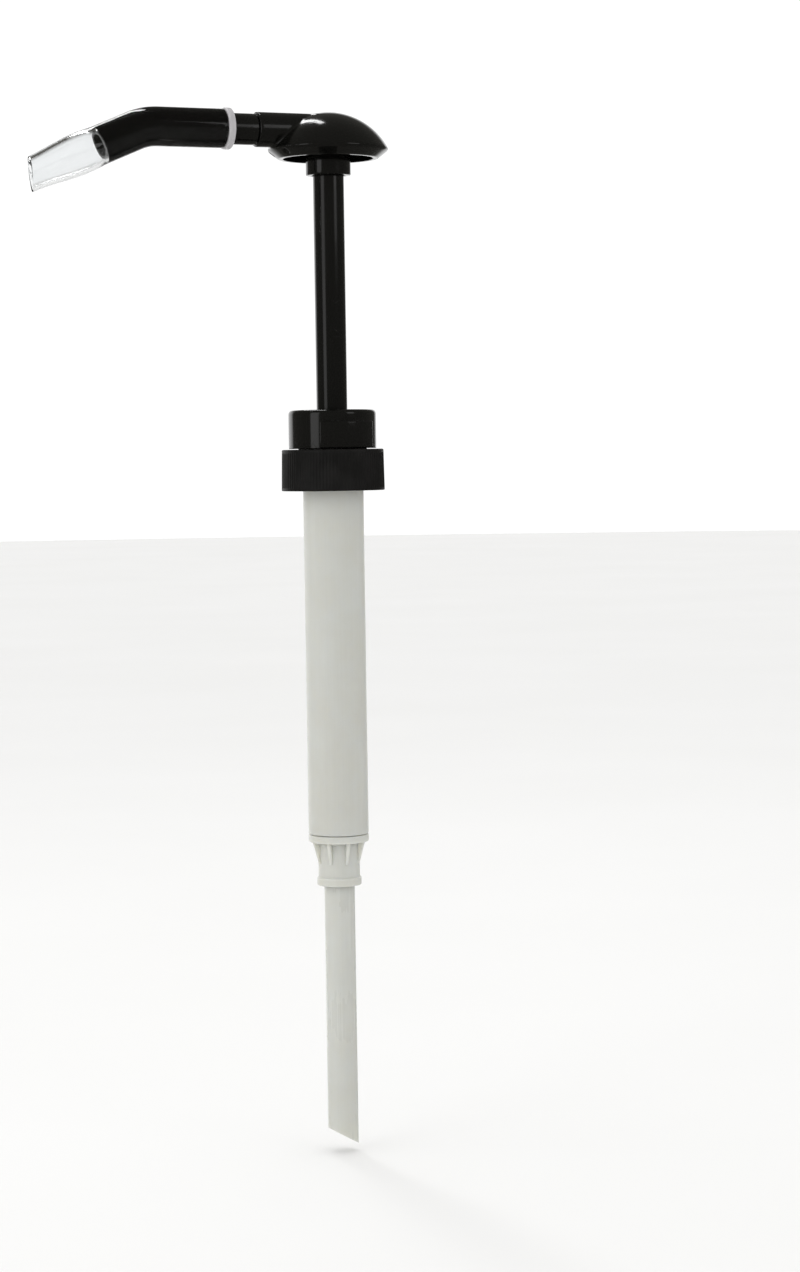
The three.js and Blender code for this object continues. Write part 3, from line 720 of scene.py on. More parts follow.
def looks(name, build, *settings):
    return bpy.data.materials.get(name) or build(*settings)


# ------------------------------------------------------------------ the line of the nozzle and its hose


def nozzle_height():
    return high("knob").z - sizes().nozzle_drop


def bent_skin(start, far, radius_at, step):
    """A round skin along the nozzle's line: straight out, round the bend by spin, and straight on.

    start is a distance from the pump's axis, and far one from the corner of the bend. radius_at gives the
    radius at a distance along the line past that corner, negative before it.
    """
    given = sizes()
    corner = given.bend_radius * tan(given.bend_angle / 2)
    bm = bmesh.new()
    bmesh.ops.create_circle(bm, segments=given.around, radius=1.0, cap_ends=False)
    run = start - given.bend_reach
    place = Vector((-start, 0, nozzle_height()))
    upright = Matrix.Rotation(-pi / 2, 3, "Y")
    for vert in bm.verts:
        vert.co = upright @ (vert.co * radius_at(run)) + place

    def drawn_out(edges, place, direction, run, reach):
        count = max(1, round(reach / step))
        for _ in range(count):
            before = radius_at(run)
            run += reach / count
            made = bmesh.ops.extrude_edge_only(bm, edges=edges)["geom"]
            verts = {item for item in made if isinstance(item, bmesh.types.BMVert)}
            edges = [item for item in made if isinstance(item, bmesh.types.BMEdge)]
            edges = [edge for edge in edges if verts.issuperset(edge.verts)]
            place = place + direction * (reach / count)
            bmesh.ops.translate(bm, verts=list(verts), vec=direction * (reach / count))
            for vert in verts:
                vert.co = place + (vert.co - place) * (radius_at(run) / before)
        return edges, place, run

    out = Vector((-1, 0, 0))
    edges, place, run = drawn_out(bm.edges[:], place, out, run, given.bend_reach - corner - start)
    centre = place - UP * given.bend_radius
    verts = list({vert for edge in edges for vert in edge.verts})
    last = bmesh.ops.spin(bm, geom=verts + edges, cent=centre, axis=(0, 1, 0), angle=-given.bend_angle,
                          steps=16)["geom_last"]
    edges = [item for item in last if isinstance(item, bmesh.types.BMEdge)]
    bend = Matrix.Rotation(-given.bend_angle, 3, "Y")
    drawn_out(edges, centre + bend @ (UP * given.bend_radius), bend @ out, corner, far - corner)
    return bm


# ------------------------------------------------------------------ knob


def crown(radius_, top, edge, count):
    """The round top as [radius, height] points from the edge to the axis."""
    most = asin(edge / radius_)
    turns = [most * step / count for step in range(count, -1, -1)]
    return [(radius_ * sin(each), top - radius_ * (1 - cos(each))) for each in turns]


def make_knob():
    """The palm knob: a domed shell with ribs and a hub inside, and a neck at its side."""
    given = sizes()
    hub_bottom, top = ends("knob")
    height = nozzle_height()
    edge_r, wall, dome_r = radius("knob"), given.knob_wall, given.crown_radius
    edge_z = top - dome_r + sqrt(dome_r**2 - edge_r**2)
    rim_r, rim_z = edge_r - given.knob_chamfer, edge_z - given.knob_chamfer * 0.9
    outline = [(0, rim_z), (rim_r, rim_z), (edge_r - 0.32 * MM, edge_z - 0.8 * MM)]
    outline += crown(dome_r, top, edge_r, 20)
    shell, whole = turned("palm_knob", outline), turned("whole", outline)
    within = rim_r - wall
    hollow = [(0, rim_z - MM), (within, rim_z - MM), (within, rim_z)]
    hollow += crown(dome_r - wall, top - wall, edge_r - wall * 1.3, 14)
    carve(shell, turned("hollow", hollow))
    slide = radius("plunger_stem") + given.fit
    hub_r = slide + given.hub_wall
    carve(shell, rod("hub", hub_r, hub_bottom, top - wall / 2), "UNION")
    half = given.rib_thickness / 2
    for index in range(6):
        rib = block("rib", (hub_r - 0.6 * MM, -half, rim_z + given.rib_gap), (edge_r, half, top))
        moved(rib, about_axis(radians(60 * (index + 0.5))))
        applied(rib, "BOOLEAN", object=whole, operation="INTERSECT", solver="MANIFOLD")
        carve(shell, rib, "UNION")
    bpy.data.objects.remove(whole)
    reach = given.neck_reach
    carve(shell, side_rod("neck", given.neck_radius, 2 * MM, reach, height), "UNION")
    bore = given.spigot_radius + given.fit
    carve(shell, side_rod("bore", bore, reach - given.spigot_length - given.fit, reach + MM, height))
    stem_bore = radius("plunger_stem") - given.stem_wall
    carve(shell, side_rod("channel", given.spigot_radius - CHANNEL_STEP, 0, reach, height))
    carve(shell, rod("channel", stem_bore, hub_bottom - MM, height))
    carve(shell, rod("socket", slide, hub_bottom - MM, high("plunger_stem").z + given.fit))
    ring_low, ring_high = ends("stem_o_ring")
    groove = ring_outline(stem_bore, slide + 1.5 * MM, ring_low - RING_ROOM, ring_high + RING_ROOM)
    carve(shell, turned("groove", groove, around=96))
    for side in (-1, 1):
        floor = rim_r + given.knob_chamfer / 2
        pin = side_rod("dimple", given.dimple / 2, floor - MM, edge_r + 2 * MM, (rim_z + edge_z) / 2, 32)
        carve(shell, moved(pin, about_axis(radians(20 * side))))
    moulded(shell, 0.42 * MM, 4)
    settle_knob(shell, edge_z)
    return finish_piece(shell, "plunger", looks("Gloss black plastic", gloss_black), "gloss_black", "knob")


def settle_knob(shell, edge_z):
    """Puts the points of the relaxed dome and neck back on their true round shapes."""
    given = sizes()
    height, reach, dome_r = nozzle_height(), given.neck_reach, given.crown_radius
    centre = Vector((0, 0, high("knob").z - dome_r))
    axis = Vector((1, 0, 0))
    for vert in shell.data.vertices:
        away = vert.co - centre
        from_neck = Vector((0, vert.co.y, vert.co.z - height))
        gap = (from_neck.length if vert.co.x < 0 else away.length) - given.neck_radius
        if abs(away.length - dome_r) < 0.3 * MM and vert.co.z > edge_z:
            weight = eased(gap, 1.2 * MM, 3 * MM) * eased(vert.co.z, edge_z + 0.4 * MM, edge_z + 1.4 * MM)
            vert.co = vert.co.lerp(centre + away.normalized() * dome_r, weight)
        elif abs(gap) < 0.3 * MM and vert.co.x < 0:
            weight = eased(away.length, dome_r + MM, dome_r + 2.4 * MM)
            weight *= eased(-vert.co.x, reach - 0.4 * MM, reach - 1.2 * MM)
            target = axis * vert.co.x + UP * height + from_neck.normalized() * given.neck_radius
            vert.co = vert.co.lerp(target, weight)


def moulded(piece, voxel, rounds):
    """Remeshes a joined shape evenly and relaxes it, so that its edges get the small rounds of a moulding."""
    applied(piece, "REMESH", mode="VOXEL", voxel_size=voxel, adaptivity=0.0, use_smooth_shade=True)
    bm = bmesh.new()
    bm.from_mesh(piece.data)
    all_ways = {"use_axis_x": True, "use_axis_y": True, "use_axis_z": True}
    for _ in range(rounds):
        bmesh.ops.smooth_vert(bm, verts=bm.verts, factor=0.5, **all_ways)
    bm.to_mesh(piece.data)
    bm.free()
    piece.data.shade_smooth()
    return piece


# ------------------------------------------------------------------ nozzle and hose


def make_nozzle():
    """The bent nozzle: a tube with a narrower spigot that sits in the knob's neck."""
    given = sizes()
    height, start, outer = nozzle_height(), given.neck_reach + given.fit, radius("nozzle")
    piece = piece_from("bent_nozzle", bent_skin(start, given.tip_length, lambda run: outer, 3 * MM))
    applied(piece, "SOLIDIFY", thickness=given.nozzle_wall, offset=-1.0, use_even_offset=True)
    softened(piece, 0.3 * MM, 3)
    near = given.neck_reach - given.spigot_length
    carve(piece, side_rod("spigot", given.spigot_radius, near, start + 3 * MM, height), "UNION")
    carve(piece, side_rod("bore", given.spigot_radius - CHANNEL_STEP, 0, start + 4 * MM, height))
    crisp(piece)
    black = looks("Gloss black nozzle", nozzle_black, "Gloss black nozzle")
    return finish_piece(piece, "plunger", black, "gloss_black", "nozzle")


def make_stop_ring():
    given = sizes()
    node = "hose_stop_ring"
    outer, inner = radius(node), radius("nozzle") + given.fit
    x0, x1 = low(node).x, high(node).x
    outline = rounded(ring_outline(inner, outer, x0, x1), [0.3 * MM, 1.1 * MM, 1.1 * MM, 0.3 * MM], 5)
    centre = (0, 0, nozzle_height())
    points = [Vector((x, 0, nozzle_height() + r)) for r, x in outline]
    piece = piece_from("stop_ring", spun(points, given.around, (1, 0, 0), centre), 40)
    return finish_piece(piece, "plunger", looks("Milky nylon", milky_nylon), "milky_nylon", node)


def make_hose():
    """The soft clear hose: it grips the nozzle, swells a little past its tip and narrows to its cut end."""
    given = sizes()
    node = "outlet_hose"
    full, start, end_x = radius(node), -high(node).x, low(node).x
    far = (-end_x - given.bend_reach) / cos(given.bend_angle) + 6 * MM
    tip, snug = given.tip_length, radius("nozzle") - HOSE_GRIP

    def outside(run):
        swell = HOSE_SWELL * eased(run, tip, tip + 7 * MM)
        narrowed = 1 - HOSE_NARROWING * eased(run, far - 29 * MM, far - 5 * MM)
        return (full + swell) * narrowed

    def inside(run):
        return snug + (outside(run) - given.hose_wall - snug) * eased(run, tip - 0.6 * MM, tip + 3 * MM)

    end_z = nozzle_height() - (-end_x - given.bend_reach) * tan(given.bend_angle)
    first_cut = Vector((end_x - CUT_LEAD, -full * CUT_SIDE, end_z + full * CUT_SIDE))
    cut = Vector((-cos(given.hose_cut), sin(given.hose_cut), -CUT_DROP))
    wall = bmesh.new()
    for radius_at in (outside, inside):
        skin = bent_skin(start, far, radius_at, 1.6 * MM)
        geom = everything(skin)
        bmesh.ops.bisect_plane(skin, geom=geom, plane_co=first_cut, plane_no=cut, clear_outer=True)
        if radius_at is inside:
            bmesh.ops.reverse_faces(skin, faces=skin.faces)
        mesh = bpy.data.meshes.new("skin")
        skin.to_mesh(mesh)
        skin.free()
        wall.from_mesh(mesh)
        bpy.data.meshes.remove(mesh)
    middle = -(start - end_x) / 2
    for inner_end in (True, False):
        lips = [edge for edge in wall.edges if edge.is_boundary]
        lips = [edge for edge in lips if (edge.verts[0].co.x > middle) == inner_end]
        bmesh.ops.bridge_loops(wall, edges=lips)
    piece = softened(piece_from("clear_hose", wall), 0.25 * MM, 3)
    return finish_piece(piece, "plunger", looks("Clear vinyl", clear_vinyl), "clear_vinyl", node)


# ------------------------------------------------------------------ stem, piston and their seals


def make_stem():
    node = "plunger_stem"
    outer = radius(node)
    inner = outer - sizes().stem_wall
    piece = turned("stem_rod", ring_outline(inner, outer, *ends(node)), 0.5 * MM)
    black = looks("Gloss black rod", gloss_black, "Gloss black rod", 0.14, 0.7, 0.12, 0.2)
    return finish_piece(piece, "plunger", black, "gloss_black", node)


def make_o_ring():
    node = "stem_o_ring"
    middle, thick = middle_and_half(node)
    bm = wire_section(16, thick, radius(node) - thick, middle)
    geom = everything(bm)
    bmesh.ops.spin(bm, geom=geom, cent=AXIS, axis=UP, angle=2 * pi, steps=96, use_merge=True)
    piece = piece_from("rod_o_ring", bm)
    return finish_piece(piece, "plunger", looks("Black rubber", black_rubber), "black_rubber", node)


def make_piston():
    """The piston with its valve seat and its cup seal's groove, and the nut that holds the seal."""
    given = sizes()
    node = "piston"
    z0, z1 = ends(node)
    slide = radius("plunger_stem") + given.fit
    chamber, land, port = slide - CHAMBER_STEP, radius(node), given.outlet_port
    shank = port + NUT_SHANK
    groove = chamber + GROOVE_STEP
    nut_top = high("piston_nut").z + given.fit / 2
    groove_top = high("piston_cup_seal").z + given.fit
    chamber_top = low("outlet_ball_cage").z - given.fit
    seat = seat_height("outlet_ball", port)
    profile = [(port, z0), (shank, z0), (shank, nut_top), (groove, nut_top), (groove, groove_top),
               (land, groove_top), (land, z1), (slide, z1), (slide, chamber_top), (chamber, chamber_top),
               (chamber, seat + chamber - port), (port, seat)]
    piece = turned("piston_body", profile, 0.3 * MM)
    finish_piece(piece, "piston", looks("White acetal", white_acetal), "white_plastic", node)
    nut_low, nut_high = ends("piston_nut")
    nut_r = radius("piston_nut")
    nut = turned("cup_nut", ring_outline(shank + given.fit, nut_r, nut_low, nut_high), 0.4 * MM)
    for index in range(4):
        slot = block("slot", (shank, -0.9 * MM, nut_low - MM), (nut_r + MM, 0.9 * MM, nut_low + 1.4 * MM))
        carve(nut, moved(slot, about_axis(radians(90 * index + 45))))
    crisp(nut)
    finish_piece(nut, "piston", looks("White acetal", white_acetal), "white_plastic", "piston_nut")


def seat_height(ball, port):
    """Height of the edge that a valve ball sits on, a little under it."""
    middle, ball_r = middle_and_half(ball)
    return middle - sizes().fit - sqrt(ball_r**2 - port**2)


def make_cup_seal():
    node = "piston_cup_seal"
    given = sizes()
    z0, z1 = ends(node)
    outer = radius(node)
    inner = radius("plunger_stem") + given.fit - CHAMBER_STEP + GROOVE_STEP + given.fit
    lip = (outer - inner) * 0.3
    wing = z0 + (z1 - z0) * 0.65
    profile = [(inner, z0), (inner + lip, z0), (inner + lip * 1.3, wing), (outer - lip * 1.3, wing),
               (outer - lip, z0), (outer, z0), (outer, z1), (inner, z1)]
    piece = turned("cup_seal", profile, 0.25 * MM)
    return finish_piece(piece, "piston", looks("Black rubber", black_rubber), "black_rubber", node)


# ------------------------------------------------------------------ valve balls and their cages


def make_ball(name, node, body):
    centre_z, ball_r = middle_and_half(node)
    profile = [(ball_r * sin(pi * step / 24), centre_z - ball_r * cos(pi * step / 24)) for step in range(25)]
    profile[0], profile[-1] = (0, centre_z - ball_r), (0, centre_z + ball_r)
    piece = turned(name, profile, around=64)
    return finish_piece(piece, body, looks("Stainless steel", stainless_steel), "stainless", node)


def make_cage(name, node, body):
    """A rim with three spokes that holds a valve ball under it and lets the oil past."""
    (z0, z1), rim = ends(node), radius_of_cage(node)
    cage = turned(name, ring_outline(rim - MM, rim, z0, z1), around=96)
    carve(cage, rod("hub", 1.6 * MM, z0, z1, 48), "UNION")
    for index in range(3):
        spoke = block("spoke", (0, -0.7 * MM, z0), (rim - 0.5 * MM, 0.7 * MM, z1))
        carve(cage, moved(spoke, about_axis(radians(120 * index))), "UNION")
    softened(cage, 0.15 * MM)
    return finish_piece(cage, body, looks("White acetal", white_acetal), "white_plastic", node)


def radius_of_cage(node):
    """A cage's radius, taken along X, where its first spoke ends."""
    return high(node).x


# ------------------------------------------------------------------ return spring


def make_spring():
    """A coil spring whose first and last turns lie almost closed."""
    given = sizes()
    node = "return_spring"
    wire, coils = given.wire / 2, given.coils
    bottom, top = ends(node)
    bm = wire_section(12, wire, high(node).x - wire, bottom + wire, cap_ends=True)
    geom = everything(bm)
    flat = given.wire * 1.15
    steps = 40
    pitch = (top - bottom - given.wire - 2 * flat) / (coils - 2)
    for turns, rise in ((1, flat), (coils - 2, pitch), (1, flat)):
        geom = bmesh.ops.spin(bm, geom=geom, cent=AXIS, axis=UP, dvec=(0, 0, rise / steps),
                              angle=2 * pi * turns, steps=steps * turns)["geom_last"]
    piece = piece_from("coil_spring", bm, 50)
    steel = looks("Spring steel", stainless_steel, "Spring steel", 0.2, (1.0, 1.0, 0.3))
    finish_piece(piece, "housing", steel, "stainless", node)
    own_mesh(piece)


def make_washer():
    node = "spring_washer"
    inner = high("return_spring").x - sizes().wire * 2.5
    piece = turned("coil_washer", ring_outline(inner, radius(node), *ends(node)), 0.15 * MM)
    steel = looks("Stainless steel", stainless_steel)
    return finish_piece(piece, "housing", steel, "stainless", node)


# ------------------------------------------------------------------ gland: collar, bush, wiper, gasket


def barrel_radii():
    """Radius inside the barrel, outside it, and outside the boss that the collar grips."""
    given = sizes()
    inner = radius("piston_cup_seal") + given.fit
    return inner, inner + given.barrel_wall, inner + given.boss_wall


def make_collar():
    """The collar that clamps the barrel: a smooth drum with two low lugs for turning it by hand."""
    node = "gland_collar"
    given = sizes()
    (z0, z1), outer = ends(node), high(node).x
    hole = radius("plunger_stem") + given.fit + MM
    ceiling = z1 - given.collar_roof
    inner = barrel_radii()[2] + given.fit
    profile = [(inner, z0), (outer, z0), (outer, z1), (hole, z1), (hole, ceiling), (inner, ceiling)]
    rounds = [0.2 * MM, 0.3 * MM, 2 * MM, 0.9 * MM, 0.2 * MM, 0.3 * MM]
    body = turned("clamp_collar", profile, rounds, steps=6)
    half = given.lug_span / 2
    for side in (-1, 1):
        bm = bmesh.new()
        corners = ring_outline(outer - MM, radius(node), z0, z0 + given.lug_height)
        face = bm.faces.new([bm.verts.new((r, 0, z)) for r, z in corners])
        start = Matrix.Rotation(side * pi / 2 - half, 3, "Z")
        bmesh.ops.rotate(bm, verts=bm.verts, cent=AXIS, matrix=start)
        geom = face.verts[:] + face.edges[:] + [face]
        bmesh.ops.spin(bm, geom=geom, cent=AXIS, axis=UP, angle=2 * half, steps=32)
        carve(body, softened(piece_from("lug", bm), 0.7 * MM, 4), "UNION")
    crisp(body, 40)
    return finish_piece(body, "housing", looks("Gloss black plastic", gloss_black), "gloss_black", node)


def make_bush():
    node = "stem_bush"
    given = sizes()
    inner, body = radius("plunger_stem") + given.fit, radius("piston_cup_seal")
    flange, recess = radius(node), radius("stem_wiper") + given.fit
    (z0, z1), step = ends(node), high("barrel").z + given.fit
    recess_z = low("stem_wiper").z - given.fit
    profile = [(inner, z0), (body, z0), (body, step), (flange, step), (flange, z1), (recess, z1),
               (recess, recess_z), (inner, recess_z)]
    piece = turned("rod_bush", profile, 0.25 * MM)
    return finish_piece(piece, "housing", looks("White acetal", white_acetal), "white_plastic", node)


def make_wiper():
    node = "stem_wiper"
    (z0, z1), outer = ends(node), radius(node)
    tall = z1 - z0
    inner = radius("plunger_stem") + sizes().fit
    lip = inner + (outer - inner) * 0.45
    profile = [(inner + 0.4 * MM, z0), (outer, z0), (outer, z1), (lip, z1), (lip, z1 - tall * 0.3),
               (inner, z1 - tall * 0.3), (inner, z1 - tall * 0.5), (inner + 0.4 * MM, z1 - tall * 0.7)]
    piece = turned("rod_wiper", profile, 0.2 * MM)
    return finish_piece(piece, "housing", looks("Black rubber", black_rubber), "black_rubber", node)


def make_gasket():
    node = "neck_gasket"
    inner = barrel_radii()[1] + sizes().fit
    piece = turned("seal_ring", ring_outline(inner, radius(node), *ends(node)), 0.3 * MM)
    return finish_piece(piece, "housing", looks("Black rubber", black_rubber), "black_rubber", node)


# ------------------------------------------------------------------ threaded closure


def make_closure():
    """The screw closure: fine grip ribs outside, and a thread of one turn and a quarter inside."""
    node = "threaded_closure"
    given = sizes()
    (z0, z1), foot = ends(node), radius(node)
    top_r, bore = foot - 0.3 * MM, given.closure_bore
    hole, ceiling = barrel_radii()[2] + given.fit, z1 - given.closure_roof
    grooved = (z0 + 0.9 * MM, z0 + 1.5 * MM, z1 - 1.9 * MM, z1 - 1.3 * MM)
    wall = [(foot + (top_r - foot) * (z - z0) / (z1 - z0), z) for z in grooved]
    profile = [(bore, z0), (foot, z0), *wall, (top_r, z1), (hole, z1), (hole, ceiling), (bore, ceiling)]
    rounds = [0.6 * MM, 0.7 * MM, 0, 0, 0, 0, 0.9 * MM, 0.4 * MM, 0.2 * MM, 0.6 * MM]
    cap = turned("screw_cap", profile, rounds, around=given.grip_ribs * 6)
    for vert in cap.data.vertices:
        x, y, z = vert.co
        depth = eased(z, grooved[0], grooved[1]) * eased(z, grooved[3], grooved[2])
        if depth > 0 and (x * x + y * y) ** 0.5 > bore + MM:
            wave = 0.5 - 0.5 * cos(given.grip_ribs * atan2(y, x))
            share = 1 - given.grip_depth * depth * wave / foot
            vert.co = (x * share, y * share, z)
    carve(cap, closure_thread(bore, z0), "UNION")
    crisp(cap, 60)
    return finish_piece(cap, "closure", looks("Matt black plastic", matt_black), "matt_black", node)


def closure_thread(bore, foot_z):
    """A round-backed ridge that climbs one pitch a turn, with its ends run out into the wall."""
    given = sizes()
    start_z = foot_z + THREAD_START
    bm = wire_section(12, MM, bore, start_z, cap_ends=True)
    steps = round(72 * given.thread_turns)
    rise = given.thread_pitch * given.thread_turns
    full = 2 * pi * given.thread_turns
    geom = everything(bm)
    bmesh.ops.spin(bm, geom=geom, cent=AXIS, axis=UP, steps=steps, angle=full, dvec=(0, 0, rise / steps))
    for vert in bm.verts:
        swept = (vert.co.z - start_z) / rise * full
        ends = eased(swept, -0.1, 0.5) * eased(swept, full + 0.1, full - 0.5)
        out = Vector((vert.co.x, vert.co.y, 0)).normalized()
        vert.co += out * (1 - ends) * 0.7 * MM
    return piece_from("thread", bm)


# ------------------------------------------------------------------ barrel, foot valve, dip tube


def make_barrel():
    node = "barrel"
    given = sizes()
    inner, outer, boss = barrel_radii()
    flange, (z0, z1) = radius(node), ends(node)
    flange_z = high("neck_gasket").z + given.fit
    flange_top = flange_z + given.flange
    rows = [((inner, z0), 0.2), ((outer, z0), 0.5), ((outer, flange_z), 1.2), ((flange, flange_z), 0.4),
            ((flange, flange_top), 0.4), ((boss, flange_top), 0.3)]
    crest = flange_top + 2.4 * MM
    while crest < z1 - 1.8 * MM:
        rows += [((boss - 0.4 * MM, crest - 0.8 * MM), 0.2), ((boss, crest - 0.1 * MM), 0.15),
                 ((boss, crest + 0.1 * MM), 0.15), ((boss - 0.4 * MM, crest + 0.8 * MM), 0.2)]
        crest += 2.1 * MM
    rows += [((boss - 0.4 * MM, z1), 0.5), ((inner, z1), 0.3)]
    body = turned_rows("pump_tube", rows)
    vent = side_rod("vent", MM, 0, outer + MM, -4 * MM, 32)
    carve(body, moved(vent, about_axis(pi)))
    crisp(body)
    return finish_piece(body, "housing", looks("Natural plastic", natural_plastic), "natural_plastic", node)


def make_foot_valve():
    node = "foot_valve"
    given = sizes()
    fit, port = given.fit, given.inlet_port
    socket = radius("dip_tube") + fit
    nose, plug, flange = socket + 2 * MM, radius("piston_cup_seal"), radius(node)
    z0, z1 = ends(node)
    flange_top = low("barrel").z - fit
    flange_low = flange_top - 3 * MM
    cage = radius_of_cage("inlet_ball_cage")
    chamber, ledge = cage - 0.9 * MM, low("inlet_ball_cage").z - fit
    seat, dip_top = seat_height("inlet_ball", port), high("dip_tube").z + fit
    rows = [((socket, z0), 0.4), ((nose + 0.6 * MM, z0), 0.6), ((nose + 0.6 * MM, z0 + 3 * MM), 0.3),
            ((nose, z0 + 3.6 * MM), 0.3), ((nose, flange_low), 1.2), ((flange, flange_low), 0.5),
            ((flange, flange_top), 0.5), ((plug, flange_top), 0.3), ((plug, z1), 0.6),
            ((cage + fit, z1), 0.3), ((cage + fit, ledge), 0.2), ((chamber, ledge), 0.2),
            ((chamber, seat + chamber - port), 0.3), ((port, seat), 0.2), ((port, dip_top), 0.3),
            ((socket, dip_top), 0.2)]
    body = turned_rows("foot_body", rows)
    fin_low = (nose - 0.5 * MM, -0.6 * MM, flange_low - 9 * MM)
    fin_high = (flange - 0.6 * MM, 0.6 * MM, flange_low + MM)
    for index in range(8):
        fin = block("fin", fin_low, fin_high)
        for vert in fin.data.vertices:
            if vert.co.z < flange_low - MM and vert.co.x > nose:
                vert.co.x = nose + 0.4 * MM
        carve(body, moved(softened(fin, 0.25 * MM), about_axis(radians(45 * index))), "UNION")
    crisp(body)
    return finish_piece(body, "housing", looks("Natural plastic", natural_plastic), "natural_plastic", node)


def make_dip_tube():
    node = "dip_tube"
    given = sizes()
    outer, (z0, z1) = radius(node), ends(node)
    inner, slant = outer - given.dip_wall, given.dip_cut
    outline = rounded(ring_outline(inner, outer, z0 - 2 * MM, z1), [0, 0, 0.3 * MM, 0.3 * MM])
    bm = spun([Vector((r, 0, z)) for r, z in outline], given.around)
    on_cut = (0, 0, z0 + outer * tan(slant))
    bmesh.ops.bisect_plane(bm, geom=everything(bm), plane_co=on_cut, plane_no=(sin(slant), 0, cos(slant)),
                           clear_inner=True)
    bmesh.ops.bridge_loops(bm, edges=[edge for edge in bm.edges if edge.is_boundary])
    piece = softened(piece_from("suction_tube", bm), 0.15 * MM, 2, 35)
    milky = looks("Natural tube", natural_plastic, "Natural tube", 0.35, 0.24)
    return finish_piece(piece, "housing", milky, "natural_plastic", node)


# ------------------------------------------------------------------ plain studio

FLOOR_DARK = (0.84, 0.84, 0.835, 1)
FLOOR_LIGHT = (0.88, 0.88, 0.88, 1)
DIM_ROOM = (0.10, 0.097, 0.088, 1)
WHITE_BACKDROP = (1.06, 1.06, 1.06, 1)


def make_stage():
    """A wide pale floor under the pump, soft lights, and the camera."""
    bm = bmesh.new()
    bmesh.ops.create_circle(bm, segments=96, radius=9.0, cap_ends=True)
    bmesh.ops.translate(bm, verts=bm.verts, vec=(0, 0, CAD_BOX[0].z - 3 * MM))
    floor = piece_from("studio_floor", bm)
    material, wires, shader, place = new_material("Pale floor", Roughness=0.8)
    shade = wires.noise(place, 3.0, 3.0)
    wires.put(shader.inputs["Base Color"], wires.mix(shade, FLOOR_DARK, FLOOR_LIGHT))
    floor.data.materials.append(material)
    floor.visible_glossy = False
    make_sky()
    middle = Vector((0, 0, 0.06))
    across = Vector((cos(SIGHT), sin(SIGHT), 0))
    towards = Vector((sin(SIGHT), -cos(SIGHT), 0))
    strip = Vector((0.38, -0.73, 0.56))
    soft_light("Ceiling strip", middle - across * 0.24 - towards * 0.65 + UP * 1.03, middle, 0.72, 0.11, 1.9,
               across * strip.x - towards * strip.y + UP * strip.z)
    soft_light("Left panel", middle + towards * 0.82 - across * 0.88 + UP * 0.2, middle, 0.5, 0.8, 0.9)
    soft_light("Right fill", middle + towards * 0.9 + across * 1.1 + UP * 0.5, middle, 0.5, 0.5, 0.6)
    even_light("Overhead", UP, 170, 2.75)
    even_light("Left key", towards * 0.5 - across + UP * 0.45, 70, 0.55)
    bpy.context.scene.view_settings.view_transform = "Standard"
    make_camera()


def make_sky():
    """A backdrop that is white to the camera. Gloss and glass see it only low behind the pump, and a dim room
    elsewhere.
    """
    world = bpy.context.scene.world or bpy.data.worlds.new("Studio")
    bpy.context.scene.world = world
    world.use_nodes = True
    wires = Wires(world.node_tree)
    place = wires.add("TexCoord").outputs["Generated"]
    ahead = SIGHT + radians(11)
    facing = wires.add("VectorMath", {0: place, 1: (-sin(ahead), cos(ahead), 0)}, operation="DOT_PRODUCT")
    rise = wires.math("ABSOLUTE", wires.add("SeparateXYZ", {"Vector": place}).outputs["Z"])
    behind = wires.ramp(facing.outputs["Value"], 0.72, 0.82)
    low_behind = wires.math("MULTIPLY", behind, wires.ramp(rise, 0.5, 0.25))
    white = wires.math("MAXIMUM", wires.add("LightPath").outputs["Is Camera Ray"], low_behind)
    backdrop = world.node_tree.nodes["Background"]
    wires.put(backdrop.inputs["Color"], wires.mix(white, DIM_ROOM, WHITE_BACKDROP))


def soft_light(name, place, aim, wide, tall, power, along=None):
    """A rectangle of light that faces a point, with its wide side level or along a vector."""
    light = bpy.data.lights.new(name, "AREA")
    light.shape = "RECTANGLE"
    light.size, light.size_y, light.energy = wide, tall, power
    lamp = bpy.data.objects.new(name, light)
    bpy.context.collection.objects.link(lamp)
    back = (place - aim).normalized()
    up = back.cross(along or UP.cross(back)).normalized()
    turns = Matrix((up.cross(back), up, back)).transposed().to_4x4()
    lamp.matrix_world = Matrix.Translation(place) @ turns
    return lamp


def even_light(name, back, spread, strength):
    """Soft light from one side that falls everywhere alike, and that gloss and glass don't mirror."""
    light = bpy.data.lights.new(name, "SUN")
    light.energy, light.angle = strength, radians(spread)
    lamp = bpy.data.objects.new(name, light)
    bpy.context.collection.objects.link(lamp)
    lamp.rotation_euler = back.to_track_quat("Z", "Y").to_euler()
    lamp.visible_glossy = lamp.visible_transmission = False


def make_camera():
    """Looks across the nozzle, a little from its side, from level with the closure."""
    data = bpy.data.cameras.new("Camera")
    data.sensor_width, data.lens = 36.0, 82.34
    camera = bpy.data.objects.new("Camera", data)
    bpy.context.collection.objects.link(camera)
    back = Vector((sin(SIGHT), -cos(SIGHT), 0))
    heading, tilt, roll = radians(-23.2), radians(90 - 3.63), radians(-0.83)
    turns = Matrix.Rotation(heading, 4, "Z") @ Matrix.Rotation(tilt, 4, "X") @ Matrix.Rotation(roll, 4, "Z")
    camera.matrix_world = Matrix.Translation(back * 1.204 + UP * 5 * MM) @ turns
    bpy.context.scene.camera = camera


# ------------------------------------------------------------------ operators


class OILPUMP_OT_knob(Operator):
    """Build the palm knob with its neck, hub and ribs"""
    bl_idname = "oil_pump.knob"
    bl_label = "Palm knob"

    def execute(self, context):
        make_knob()
        return {"FINISHED"}


class OILPUMP_OT_nozzle(Operator):
    """Build the bent nozzle"""
    bl_idname = "oil_pump.nozzle"
    bl_label = "Bent nozzle"

    def execute(self, context):
        make_nozzle()
        return {"FINISHED"}


